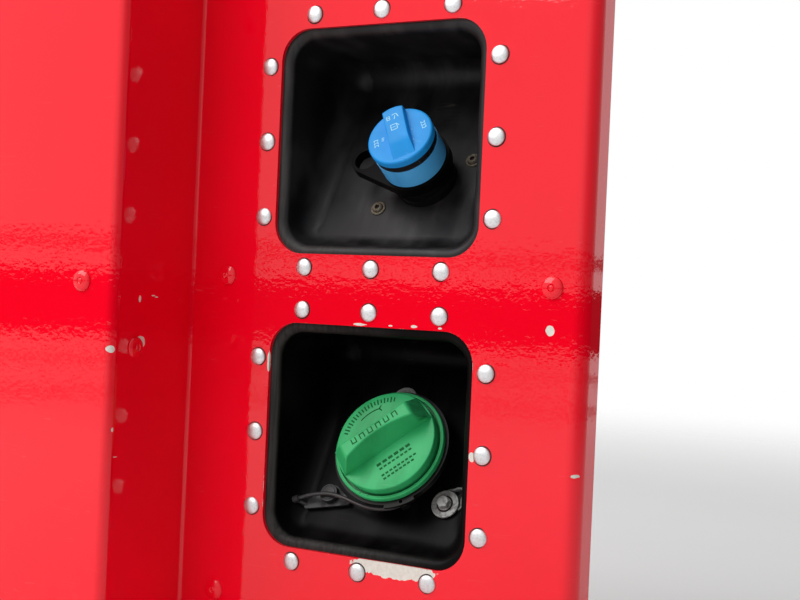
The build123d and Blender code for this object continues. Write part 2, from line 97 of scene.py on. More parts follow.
class Graph:
    """A node tree that is being built, with short calls for the nodes that the finishes use."""

    def __init__(self, tree: bpy.types.NodeTree) -> None:
        """Keeps the tree.

        Args:
            tree: the tree that the nodes go into.
        """
        self.tree = tree

    def node(self, kind: str, **settings: object) -> bpy.types.Node:
        """Adds a node.

        Args:
            kind: the node's type name.
            settings: properties to set on the node.

        Returns:
            The new node.
        """
        made = self.tree.nodes.new(kind)
        for name, value in settings.items():
            setattr(made, name, value)
        return made

    def feed(self, socket: Socket, value: object) -> None:
        """Links a socket to another, or sets its own value.

        Args:
            socket: the input socket.
            value: an output socket, a number, a vector or a colour.
        """
        if isinstance(value, Socket):
            self.tree.links.new(value, socket)
        elif socket.type == "RGBA" and len(value) == 3:
            socket.default_value = (*value, 1.0)
        else:
            socket.default_value = value

    def math(self, operation: str, first: Number, second: Number = 0.0, third: Number = 0.0) -> Socket:
        """Adds a Math node.

        Args:
            operation: the node's operation.
            first: its first input.
            second: its second input.
            third: its third input.

        Returns:
            The node's output.
        """
        made = self.node("ShaderNodeMath", operation=operation)
        for socket, value in zip(made.inputs, (first, second, third)):
            self.feed(socket, value)
        return made.outputs[0]

    def spread(self, value: Number, low: Number, high: Number, smooth: bool = True) -> Socket:
        """Maps a value to 0 at low and 1 at high, held between them.

        Args:
            value: the value.
            low: where the result is 0.
            high: where the result is 1.
            smooth: whether the step is eased.

        Returns:
            The mapped value.
        """
        made = self.node("ShaderNodeMapRange", interpolation_type="SMOOTHSTEP" if smooth else "LINEAR")
        self.feed(made.inputs["Value"], value)
        self.feed(made.inputs["From Min"], low)
        self.feed(made.inputs["From Max"], high)
        return made.outputs["Result"]

    def mix(self, share: Number, first: object, second: object) -> Socket:
        """Mixes two colours.

        Args:
            share: how much of the second colour shows.
            first: the first colour.
            second: the second colour.

        Returns:
            The mixed colour.
        """
        made = self.node("ShaderNodeMix", data_type="RGBA")
        self.feed(made.inputs[0], share)
        self.feed(made.inputs[6], first)
        self.feed(made.inputs[7], second)
        return made.outputs[2]

    def noise(self, where: Socket, per_metre: Number, detail: float = 4.0) -> Socket:
        """Adds a Noise node and gives its value, about 0.3 to 0.7.

        Args:
            where: the place to read.
            per_metre: the noise's scale.
            detail: its number of octaves.

        Returns:
            The noise value.
        """
        made = self.node("ShaderNodeTexNoise")
        self.feed(made.inputs["Vector"], where)
        self.feed(made.inputs["Scale"], per_metre)
        made.inputs["Detail"].default_value = detail
        return made.outputs[0]

    def stretched(self, where: Socket, scale: tuple, turn: tuple = (0.0, 0.0, 0.0)) -> Socket:
        """Turns and stretches a place, for streaks and scratches.

        Args:
            where: the place.
            scale: the factor along each axis.
            turn: the turn about each axis in degrees.

        Returns:
            The changed place.
        """
        made = self.node("ShaderNodeMapping")
        self.feed(made.inputs["Vector"], where)
        made.inputs["Scale"].default_value = scale
        made.inputs["Rotation"].default_value = [math.radians(angle) for angle in turn]
        return made.outputs[0]

    def place(self) -> Socket:
        """The point on the piece itself, in metres, which rides with the piece."""
        return self.node("ShaderNodeTexCoord").outputs["Object"]

    def parts(self, where: Socket) -> list[Socket]:
        """The X, Y and Z of a place."""
        made = self.node("ShaderNodeSeparateXYZ")
        self.feed(made.inputs[0], where)
        return list(made.outputs)

    def bump(self, height: Socket, depth: float) -> Socket:
        """Turns a height from 0 to 1 into a normal.

        Args:
            height: the height value.
            depth: what a height of 1 stands for, in metres.

        Returns:
            The bent normal.
        """
        made = self.node("ShaderNodeBump")
        made.inputs["Distance"].default_value = depth
        self.feed(made.inputs["Height"], height)
        return made.outputs[0]

    def effect(self, name: str, **values: object) -> bpy.types.Node:
        """Places one of the shared effects.

        Args:
            name: the effect's name.
            values: its inputs by name, with underscores for spaces.

        Returns:
            The group node.
        """
        made = self.node("ShaderNodeGroup", node_tree=bpy.data.node_groups[name])
        for key, value in values.items():
            self.feed(made.inputs[key.replace("_", " ")], value)
        return made


class SharedEffects:
    """The effects that the finishes draw on, each a node group that is built once."""

    def __init__(self) -> None:
        """Builds every group."""
        self.build_grain()
        self.build_mottle()
        self.build_scratches()
        self.build_dust()
        self.build_flake()
        self.build_window_edge()
        self.build_neck_space()
        self.build_smear()
        self.build_tarnish()
        self.build_lip_dust()

    @staticmethod
    def start(
        name: str, inputs: Sequence[tuple], outputs: Sequence[tuple]
    ) -> tuple[Graph, dict[str, Socket], bpy.types.Node]:
        """Makes an empty group.

        Args:
            name: the group's name.
            inputs: name, socket type and default of each input.
            outputs: name and socket type of each output.

        Returns:
            The graph, the group's inputs by name, and its output node.
        """
        tree = bpy.data.node_groups.new(name, "ShaderNodeTree")
        for label, kind, default in inputs:
            socket = tree.interface.new_socket(label, in_out="INPUT", socket_type=kind)
            if default is not None:
                socket.default_value = default
        for label, kind in outputs:
            tree.interface.new_socket(label, in_out="OUTPUT", socket_type=kind)
        graph = Graph(tree)
        source = graph.node("NodeGroupInput")
        sink = graph.node("NodeGroupOutput")
        return graph, {socket.name: socket for socket in source.outputs if socket.name}, sink

    def build_grain(self) -> None:
        """Fine grain of a moulded surface, as a height."""
        graph, given, sink = self.start(
            "grain",
            (("Place", "NodeSocketVector", None), ("Per metre", "NodeSocketFloat", 1800.0)),
            (("Height", "NodeSocketFloat"),),
        )
        fine = graph.noise(given["Place"], given["Per metre"], 3.0)
        coarse = graph.noise(given["Place"], graph.math("MULTIPLY", given["Per metre"], 0.23), 2.0)
        graph.feed(sink.inputs["Height"], graph.math("MULTIPLY_ADD", coarse, 0.5, fine))

    def build_mottle(self) -> None:
        """Slow, cloudy variation, from 0 to 1."""
        graph, given, sink = self.start(
            "mottle",
            (("Place", "NodeSocketVector", None), ("Per metre", "NodeSocketFloat", 20.0)),
            (("Share", "NodeSocketFloat"),),
        )
        cloud = graph.noise(given["Place"], given["Per metre"], 6.0)
        graph.feed(sink.inputs["Share"], graph.spread(cloud, 0.33, 0.67, smooth=False))

    def build_scratches(self) -> None:
        """Sparse fine scratches in three directions, as a mask."""
        graph, given, sink = self.start(
            "scratches",
            (
                ("Place", "NodeSocketVector", None),
                ("Per metre", "NodeSocketFloat", 120.0),
                ("Rarity", "NodeSocketFloat", 0.68),
            ),
            (("Mask", "NodeSocketFloat"),),
        )
        total: Number = 0.0
        for turn in ((10.0, 20.0, 35.0), (70.0, 0.0, 80.0), (25.0, 60.0, 130.0)):
            along = graph.stretched(given["Place"], (0.04, 1.0, 1.0), turn)
            line = graph.noise(along, given["Per metre"], 1.0)
            narrow = graph.math("ABSOLUTE", graph.math("SUBTRACT", line, 0.5))
            thread = graph.spread(narrow, 0.006, 0.0)
            where = graph.noise(graph.stretched(given["Place"], (1.0, 1.0, 1.0), turn), 38.0, 2.0)
            shown = graph.spread(where, given["Rarity"], graph.math("ADD", given["Rarity"], 0.05))
            total = graph.math("MAXIMUM", total, graph.math("MULTIPLY", thread, shown))
        graph.feed(sink.inputs["Mask"], total)

    def build_dust(self) -> None:
        """Dust that has settled on what faces up, as a mask."""
        graph, given, sink = self.start(
            "settled dust",
            (
                ("Place", "NodeSocketVector", None),
                ("Per metre", "NodeSocketFloat", 60.0),
                ("Amount", "NodeSocketFloat", 0.5),
            ),
            (("Mask", "NodeSocketFloat"),),
        )
        facing = graph.node("ShaderNodeNewGeometry").outputs["Normal"]
        upward = graph.spread(graph.parts(facing)[2], 0.1, 0.9)
        cloud = graph.spread(graph.noise(given["Place"], given["Per metre"], 7.0), 0.35, 0.7)
        mask = graph.math("MULTIPLY", upward, graph.math("MULTIPLY", cloud, given["Amount"]))
        graph.feed(sink.inputs["Mask"], mask)

    def build_flake(self) -> None:
        """A ragged patch of lost paint about a centre, as a mask."""
        graph, given, sink = self.start(
            "flake",
            (
                ("Place", "NodeSocketVector", None),
                ("Centre", "NodeSocketVector", None),
                ("Across", "NodeSocketVector", (0.01, 0.01, 0.01)),
                ("Ragged", "NodeSocketFloat", 0.35),
            ),
            (("Mask", "NodeSocketFloat"),),
        )
        offset = graph.node("ShaderNodeVectorMath", operation="SUBTRACT")
        graph.feed(offset.inputs[0], given["Place"])
        graph.feed(offset.inputs[1], given["Centre"])
        unit = graph.node("ShaderNodeVectorMath", operation="DIVIDE")
        graph.feed(unit.inputs[0], offset.outputs[0])
        graph.feed(unit.inputs[1], given["Across"])
        reach = graph.node("ShaderNodeVectorMath", operation="LENGTH")
        graph.feed(reach.inputs[0], unit.outputs[0])
        edge = graph.math("SUBTRACT", graph.noise(given["Place"], 260.0, 5.0), 0.5)
        strength = graph.math("MULTIPLY", given["Ragged"], 4.0)
        bent = graph.math("MULTIPLY_ADD", edge, strength, reach.outputs["Value"])
        graph.feed(sink.inputs["Mask"], graph.spread(bent, 1.03, 0.97))

    def build_window_edge(self) -> None:
        """The distance from a rounded square opening's edge, outward, in metres."""
        graph, given, sink = self.start(
            "window edge",
            (
                ("Place", "NodeSocketVector", None),
                ("Middle X", "NodeSocketFloat", 0.0),
                ("Middle Z", "NodeSocketFloat", 0.0),
                ("Half", "NodeSocketFloat", 0.083),
                ("Corner", "NodeSocketFloat", 0.023),
            ),
            (("Distance", "NodeSocketFloat"),),
        )
        x, _, z = graph.parts(given["Place"])
        straight = graph.math("SUBTRACT", given["Half"], given["Corner"])
        reach = []
        for value, middle in ((x, "Middle X"), (z, "Middle Z")):
            away = graph.math("ABSOLUTE", graph.math("SUBTRACT", value, given[middle]))
            reach.append(graph.math("MAXIMUM", graph.math("SUBTRACT", away, straight), 0.0))
        squares = graph.math("MULTIPLY_ADD", reach[0], reach[0], graph.math("MULTIPLY", reach[1], reach[1]))
        length = graph.math("SQRT", squares)
        graph.feed(sink.inputs["Distance"], graph.math("SUBTRACT", length, given["Corner"]))

    def build_neck_space(self) -> None:
        """A place about a neck: how far it is from the neck's line, and how far along it."""
        graph, given, sink = self.start(
            "neck space",
            (
                ("Place", "NodeSocketVector", None),
                ("Foot", "NodeSocketVector", None),
                ("Line", "NodeSocketVector", (0.0, -1.0, 0.0)),
            ),
            (("Radius", "NodeSocketFloat"), ("Height", "NodeSocketFloat")),
        )
        offset = graph.node("ShaderNodeVectorMath", operation="SUBTRACT")
        graph.feed(offset.inputs[0], given["Place"])
        graph.feed(offset.inputs[1], given["Foot"])
        along = graph.node("ShaderNodeVectorMath", operation="DOT_PRODUCT")
        graph.feed(along.inputs[0], offset.outputs[0])
        graph.feed(along.inputs[1], given["Line"])
        away = graph.node("ShaderNodeVectorMath", operation="CROSS_PRODUCT")
        graph.feed(away.inputs[0], offset.outputs[0])
        graph.feed(away.inputs[1], given["Line"])
        radius = graph.node("ShaderNodeVectorMath", operation="LENGTH")
        graph.feed(radius.inputs[0], away.outputs[0])
        graph.feed(sink.inputs["Radius"], radius.outputs["Value"])
        graph.feed(sink.inputs["Height"], along.outputs["Value"])

    def build_smear(self) -> None:
        """Wiped streaks of old dirt, as a mask."""
        graph, given, sink = self.start(
            "smear",
            (("Place", "NodeSocketVector", None), ("Amount", "NodeSocketFloat", 0.5)),
            (("Mask", "NodeSocketFloat"),),
        )
        streak = graph.stretched(given["Place"], (1.0, 0.35, 0.3), (20.0, 0.0, 35.0))
        wiped = graph.spread(graph.noise(streak, 60.0, 7.0), 0.46, 0.7)
        graph.feed(sink.inputs["Mask"], graph.math("MULTIPLY", wiped, given["Amount"]))

    def build_tarnish(self) -> None:
        """Dull spots on metal as a mask, and its fine marks as a height."""
        graph, given, sink = self.start(
            "tarnish",
            (
                ("Place", "NodeSocketVector", None),
                ("Per metre", "NodeSocketFloat", 600.0),
                ("Amount", "NodeSocketFloat", 0.5),
            ),
            (("Mask", "NodeSocketFloat"), ("Height", "NodeSocketFloat")),
        )
        spots = graph.spread(graph.noise(given["Place"], given["Per metre"], 5.0), 0.45, 0.68)
        graph.feed(sink.inputs["Mask"], graph.math("MULTIPLY", spots, given["Amount"]))
        finer = graph.math("MULTIPLY", given["Per metre"], 2.5)
        graph.feed(sink.inputs["Height"], graph.noise(given["Place"], finer, 3.0))

    def build_lip_dust(self) -> None:
        """Dust and rubbing on a pocket's rolled lip, most at its lower left, as a mask."""
        graph, given, sink = self.start(
            "lip dust",
            (
                ("Place", "NodeSocketVector", None),
                ("Amount", "NodeSocketFloat", 0.2),
                ("Specks", "NodeSocketFloat", 0.16),
            ),
            (("Mask", "NodeSocketFloat"),),
        )
        across, depth, height = graph.parts(given["Place"])
        front = graph.spread(depth, 5.0 * MM, 1.5 * MM)
        leftward = graph.math("ADD", across, graph.math("MULTIPLY", height, 0.25))
        low_left = graph.math("MULTIPLY_ADD", graph.spread(leftward, 0.02, -0.1), 0.95, 0.05)
        rubbed = graph.noise(graph.stretched(given["Place"], (1.0, 1.0, 0.06)), 420.0, 4.0)
        specks = graph.spread(rubbed, 0.38, 0.62)
        grey = graph.math("MULTIPLY_ADD", specks, given["Specks"], given["Amount"])
        dusty = graph.math("MULTIPLY", front, grey)
        graph.feed(sink.inputs["Mask"], graph.math("MULTIPLY", dusty, low_left))


# Places read from the frame


@dataclass(frozen=True)
class NeckLine:
    """Where a filler neck stands: the foot of its line on the sloped floor, and the line."""

    foot: Vector
    line: Vector

    @classmethod
    def of_joint(cls, name: str, joint_height: float) -> "NeckLine":
        """Reads a neck from the hinge of its cap.

        Args:
            name: the joint's name.
            joint_height: how far out from the slope the joint's point lies, in metres.

        Returns:
            The neck's place.
        """
        joint = next(item for item in frame["joints"] if item["name"] == name)
        line = Vector(joint["axis"]).normalized()
        return cls(Vector(joint["pos_m"]) - line * joint_height, line)

    def matrix(self, right: float = 0.0, up: float = 0.0, out: float = 0.0, turn: float = 0.0) -> Matrix:
        """A place about the neck, with x to the right, y up the slope and z along the neck.

        Args:
            right: metres to the right.
            up: metres up the slope.
            out: metres along the neck.
            turn: a turn about the neck in degrees.

        Returns:
            The place as a matrix.
        """
        across = Vector((1.0, 0.0, 0.0))
        rise = self.line.cross(across)
        axes = Matrix((across, rise, self.line)).transposed().to_4x4()
        axes.translation = self.foot + across * right + rise * up + self.line * out
        return axes @ Matrix.Rotation(math.radians(turn), 4, "Z")


@dataclass(frozen=True)
class Opening:
    """A pocket's opening in the sheet, read from the pocket's flange."""

    node: str
    flange_beyond: float = 20.0 * MM
    corner: float = 23.0 * MM

    def middle(self) -> Vector:
        """The opening's middle."""
        low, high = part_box(self.node)
        return (low + high) / 2

    def half(self) -> float:
        """Half the opening's width."""
        low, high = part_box(self.node)
        return (high.x - low.x) / 2 - self.flange_beyond


UPPER = Opening("def_pocket")
LOWER = Opening("fuel_pocket")
FLUID_NECK = NeckLine.of_joint("def_cap_turn", 30.0 * MM)
FUEL_NECK = NeckLine.of_joint("fuel_cap_turn", 24.0 * MM)
# In degrees, the turn of the diesel cap's grip bar about its neck
FUEL_BAR_TURN = 43.6
LIP_GREY: Color = (0.11, 0.105, 0.1)
# Colour of the diesel cap's groove: grime and painted shade
DIRT_AND_SHADE_IN_GROOVE: Color = (0.008, 0.07, 0.025)
# Colour of painted shade on the far end of the diesel cap's grip bar
BAR_END_PAINTED_SHADE: Color = (0.01, 0.14, 0.042)


# Finishes


@dataclass(frozen=True)
class Finish:
    """A finish: a colour and how it shines. Subclasses add the detail of each real surface."""

    name: str
    color: Color
    roughness: float = 0.5
    specular: float = 0.5

    def build(self) -> bpy.types.Material:
        """Makes the material.

        Returns:
            The material with its nodes.
        """
        made = bpy.data.materials.new(self.name)
        made.use_nodes = True
        made.node_tree.nodes.clear()
        graph = Graph(made.node_tree)
        shader = graph.node("ShaderNodeBsdfPrincipled")
        shader.inputs["Base Color"].default_value = (*self.color, 1.0)
        shader.inputs["Roughness"].default_value = self.roughness
        shader.inputs["Specular IOR Level"].default_value = self.specular
        self.dress(graph, shader)
        output = graph.node("ShaderNodeOutputMaterial")
        graph.feed(output.inputs["Surface"], shader.outputs[0])
        made.diffuse_color = (*self.color, 1.0)
        return made

    def dress(self, graph: Graph, shader: bpy.types.Node) -> None:
        """Adds the finish's own detail.

        Args:
            graph: the material's tree.
            shader: its Principled BSDF.
        """
        raise NotImplementedError


@dataclass(frozen=True)
class PaintLoss:
    """A patch where the paint has come off: its centre and half sizes, in millimetres."""

    centre: tuple[float, float, float]
    across: tuple[float, float, float]
    ragged: float = 0.35


@dataclass(frozen=True)
class GlossPaint(Finish):
    """Glossy red vehicle paint with a slight orange peel, fine scratches and patches of lost paint."""

    deep: Color = (0.74, 0.0, 0.004)
    primer: Color = (0.86, 0.84, 0.77)
    old_primer: Color = (0.6, 0.56, 0.49)
    scratched: Color = (0.9, 0.2, 0.2)
    drift_share: float = 0.22
    scratch_share: float = 0.12
    bare_roughness: float = 0.55
    chip_reach: tuple[float, float] = (0.1 * MM, 0.4 * MM)
    chip_edge: float = 0.12 * MM
    losses: tuple[PaintLoss, ...] = ()
    peel_per_metre: float = 170.0
    peel_depth: float = 0.045 * MM
    ripple_share: float = 0.4

    def dress(self, graph: Graph, shader: bpy.types.Node) -> None:
        """Adds colour drift, orange peel, scratches and lost paint.

        Args:
            graph: the material's tree.
            shader: its Principled BSDF.
        """
        here = graph.place()
        drift = graph.effect("mottle", Place=here, Per_metre=9.0).outputs["Share"]
        red = graph.mix(graph.math("MULTIPLY", drift, self.drift_share), self.color, self.deep)
        scratch = graph.effect("scratches", Place=here, Per_metre=90.0, Rarity=0.63).outputs["Mask"]
        red = graph.mix(graph.math("MULTIPLY", scratch, self.scratch_share), red, self.scratched)
        lost: Number = 0.0
        for loss in self.losses:
            centre = [value * MM for value in loss.centre]
            across = [value * MM for value in loss.across]
            patch = graph.effect("flake", Place=here, Centre=centre, Across=across, Ragged=loss.ragged)
            lost = graph.math("MAXIMUM", lost, patch.outputs["Mask"])
        looks = graph.node("ShaderNodeNewGeometry").outputs["Normal"]
        front = graph.spread(graph.parts(looks)[1], -0.6, -0.9)
        for opening, reach in zip((UPPER, LOWER), self.chip_reach):
            middle = opening.middle()
            edge = graph.effect(
                "window edge",
                Place=here,
                Middle_X=middle.x,
                Middle_Z=middle.z,
                Half=opening.half(),
                Corner=opening.corner,
            ).outputs["Distance"]
            ragged = graph.spread(graph.noise(here, 95.0, 6.0), 0.58, 0.75)
            worn = graph.math("MULTIPLY", ragged, reach)
            chipped = graph.spread(graph.math("SUBTRACT", worn, edge), 0.0, self.chip_edge)
            lost = graph.math("MAXIMUM", lost, graph.math("MULTIPLY", chipped, front))
        bare = graph.mix(graph.noise(here, 500.0, 4.0), self.primer, self.old_primer)
        graph.feed(shader.inputs["Base Color"], graph.mix(lost, red, bare))
        shine = graph.math("MULTIPLY_ADD", drift, 0.012, self.roughness)
        shine = graph.math("MULTIPLY_ADD", scratch, self.scratch_share, shine)
        dull = graph.math("MULTIPLY", lost, self.bare_roughness)
        graph.feed(shader.inputs["Roughness"], graph.math("MAXIMUM", shine, dull))
        ripple = graph.noise(here, self.peel_per_metre * 2.7, 1.0)
        coarse = graph.noise(here, self.peel_per_metre, 2.0)
        peel = graph.math("MULTIPLY_ADD", ripple, self.ripple_share, coarse)
        film = graph.math("SUBTRACT", peel, graph.math("MULTIPLY", lost, 2.5))
        graph.feed(shader.inputs["Normal"], graph.bump(film, self.peel_depth))


@dataclass(frozen=True)
class MouldedPlastic(Finish):
    """Moulded plastic: fine grain, cloudy tone, scuffs and settled dust."""

    tone: Color = (0.5, 0.5, 0.5)
    tone_share: float = 0.3
    grain_per_metre: float = 1500.0
    grain_depth: float = 0.04 * MM
    scuff: Color = (0.3, 0.3, 0.3)
    scuff_share: float = 0.5
    scuff_rarity: float = 0.6
    dust: Color = (0.3, 0.3, 0.3)
    dust_amount: float = 0.3
    smear: Color = (0.3, 0.3, 0.3)
    smear_share: float = 0.0
    extra: Optional[Callable[[Graph, Socket, Socket], Socket]] = None

    def dress(self, graph: Graph, shader: bpy.types.Node) -> None:
        """Adds grain, tone, scuffs and dust.

        Args:
            graph: the material's tree.
            shader: its Principled BSDF.
        """
        here = graph.place()
        cloud = graph.effect("mottle", Place=here, Per_metre=34.0).outputs["Share"]
        color = graph.mix(graph.math("MULTIPLY", cloud, self.tone_share), self.color, self.tone)
        if self.smear_share > 0.0:
            wiped = graph.effect("smear", Place=here, Amount=self.smear_share).outputs["Mask"]
            color = graph.mix(wiped, color, self.smear)
        if self.extra is not None:
            color = self.extra(graph, here, color)
        scratches = graph.effect("scratches", Place=here, Per_metre=150.0, Rarity=self.scuff_rarity)
        scuffed = graph.math("MULTIPLY", scratches.outputs["Mask"], self.scuff_share)
        color = graph.mix(scuffed, color, self.scuff)
        settled = graph.effect("settled dust", Place=here, Per_metre=70.0, Amount=self.dust_amount)
        dust = settled.outputs["Mask"]
        color = graph.mix(dust, color, self.dust)
        graph.feed(shader.inputs["Base Color"], color)
        rough = graph.math("MULTIPLY_ADD", cloud, 0.1, self.roughness - 0.05)
        graph.feed(shader.inputs["Roughness"], graph.math("MULTIPLY_ADD", dust, 0.3, rough))
        grain = graph.effect("grain", Place=here, Per_metre=self.grain_per_metre).outputs["Height"]
        graph.feed(shader.inputs["Normal"], graph.bump(grain, self.grain_depth))


@dataclass(frozen=True)
class WornMetal(Finish):
    """Bare or plated metal with tarnish, spots and fine marks."""

    tarnish: Color = (0.3, 0.3, 0.3)
    tarnish_share: float = 0.5
    spots: float = 600.0
    metallic: float = 1.0
    dulled: float = 0.6
    roughened: float = 0.35
    mark_depth: float = 0.03 * MM

    def dress(self, graph: Graph, shader: bpy.types.Node) -> None:
        """Adds tarnish and marks.

        Args:
            graph: the material's tree.
            shader: its Principled BSDF.
        """
        here = graph.place()
        worn = graph.effect("tarnish", Place=here, Per_metre=self.spots, Amount=self.tarnish_share)
        share = worn.outputs["Mask"]
        lost = -self.dulled * self.metallic
        graph.feed(shader.inputs["Base Color"], graph.mix(share, self.color, self.tarnish))
        rough = graph.math("MULTIPLY_ADD", share, self.roughened, self.roughness)
        graph.feed(shader.inputs["Roughness"], rough)
        graph.feed(shader.inputs["Metallic"], graph.math("MULTIPLY_ADD", share, lost, self.metallic))
        graph.feed(shader.inputs["Normal"], graph.bump(worn.outputs["Height"], self.mark_depth))


def lip_dust(graph: Graph, here: Socket, color: Socket) -> Socket:
    """Greys a pocket's rolled lip, where dust and rubbing show.

    Args:
        graph: the material's tree.
        here: the place on the piece.
        color: the colour so far.

    Returns:
        The colour with the grey lip.
    """
    return graph.mix(graph.effect("lip dust", Place=here).outputs["Mask"], color, LIP_GREY)


def bar_end(graph: Graph, here: Socket) -> Socket:
    """The far end of the diesel cap's grip bar, from 0 to 1 along it.

    Args:
        graph: the material's tree.
        here: the place on the piece.

    Returns:
        The mask.
    """
    bar = FUEL_NECK.matrix(turn=FUEL_BAR_TURN).to_3x3() @ Vector((1.0, 0.0, 0.0))
    across, depth, height = graph.parts(here)
    level = graph.math("ADD", graph.math("MULTIPLY", across, bar.x), graph.math("MULTIPLY", depth, bar.y))
    along = graph.math("ADD", level, graph.math("MULTIPLY_ADD", height, bar.z, -bar.dot(FUEL_NECK.foot)))
    return graph.spread(along, 27.0 * MM, 31.0 * MM)


def cap_dirt_and_painted_shade(graph: Graph, here: Socket, color: Socket) -> Socket:
    """Darkens the diesel cap's groove with grime and painted shade, and the far end of its grip bar with painted
    shade.

    Args:
        graph: the material's tree.
        here: the place on the piece.
        color: the colour so far.

    Returns:
        The colour with the groove's grime and painted shade and the bar end's painted shade.
    """
    space = graph.effect("neck space", Place=here, Foot=FUEL_NECK.foot, Line=FUEL_NECK.line)
    radius = space.outputs["Radius"]
    inside = graph.spread(radius, 38.2 * MM, 38.9 * MM)
    outside = graph.spread(radius, 40.7 * MM, 40.3 * MM)
    low = graph.spread(space.outputs["Height"], 32.5 * MM, 29.0 * MM)
    cloud = graph.spread(graph.noise(here, 180.0, 5.0), 0.3, 0.6)
    ring = graph.math("MULTIPLY", graph.math("MULTIPLY", inside, outside), low)
    share = graph.math("MULTIPLY", ring, graph.math("MULTIPLY_ADD", cloud, 0.4, 0.25))
    # grime and painted shade: the ring mask darkens the groove where shade falls
    groove_dirt_and_shade = graph.mix(share, color, DIRT_AND_SHADE_IN_GROOVE)
    # painted shade: the top of the grip bar's far end is darkened where less light falls
    over = graph.spread(space.outputs["Height"], 39.0 * MM, 44.0 * MM)
    end = graph.math("MULTIPLY", bar_end(graph, here), over)
    worn = graph.math("MULTIPLY", end, graph.math("MULTIPLY_ADD", cloud, 0.35, 0.5))
    return graph.mix(worn, groove_dirt_and_shade, BAR_END_PAINTED_SHADE)


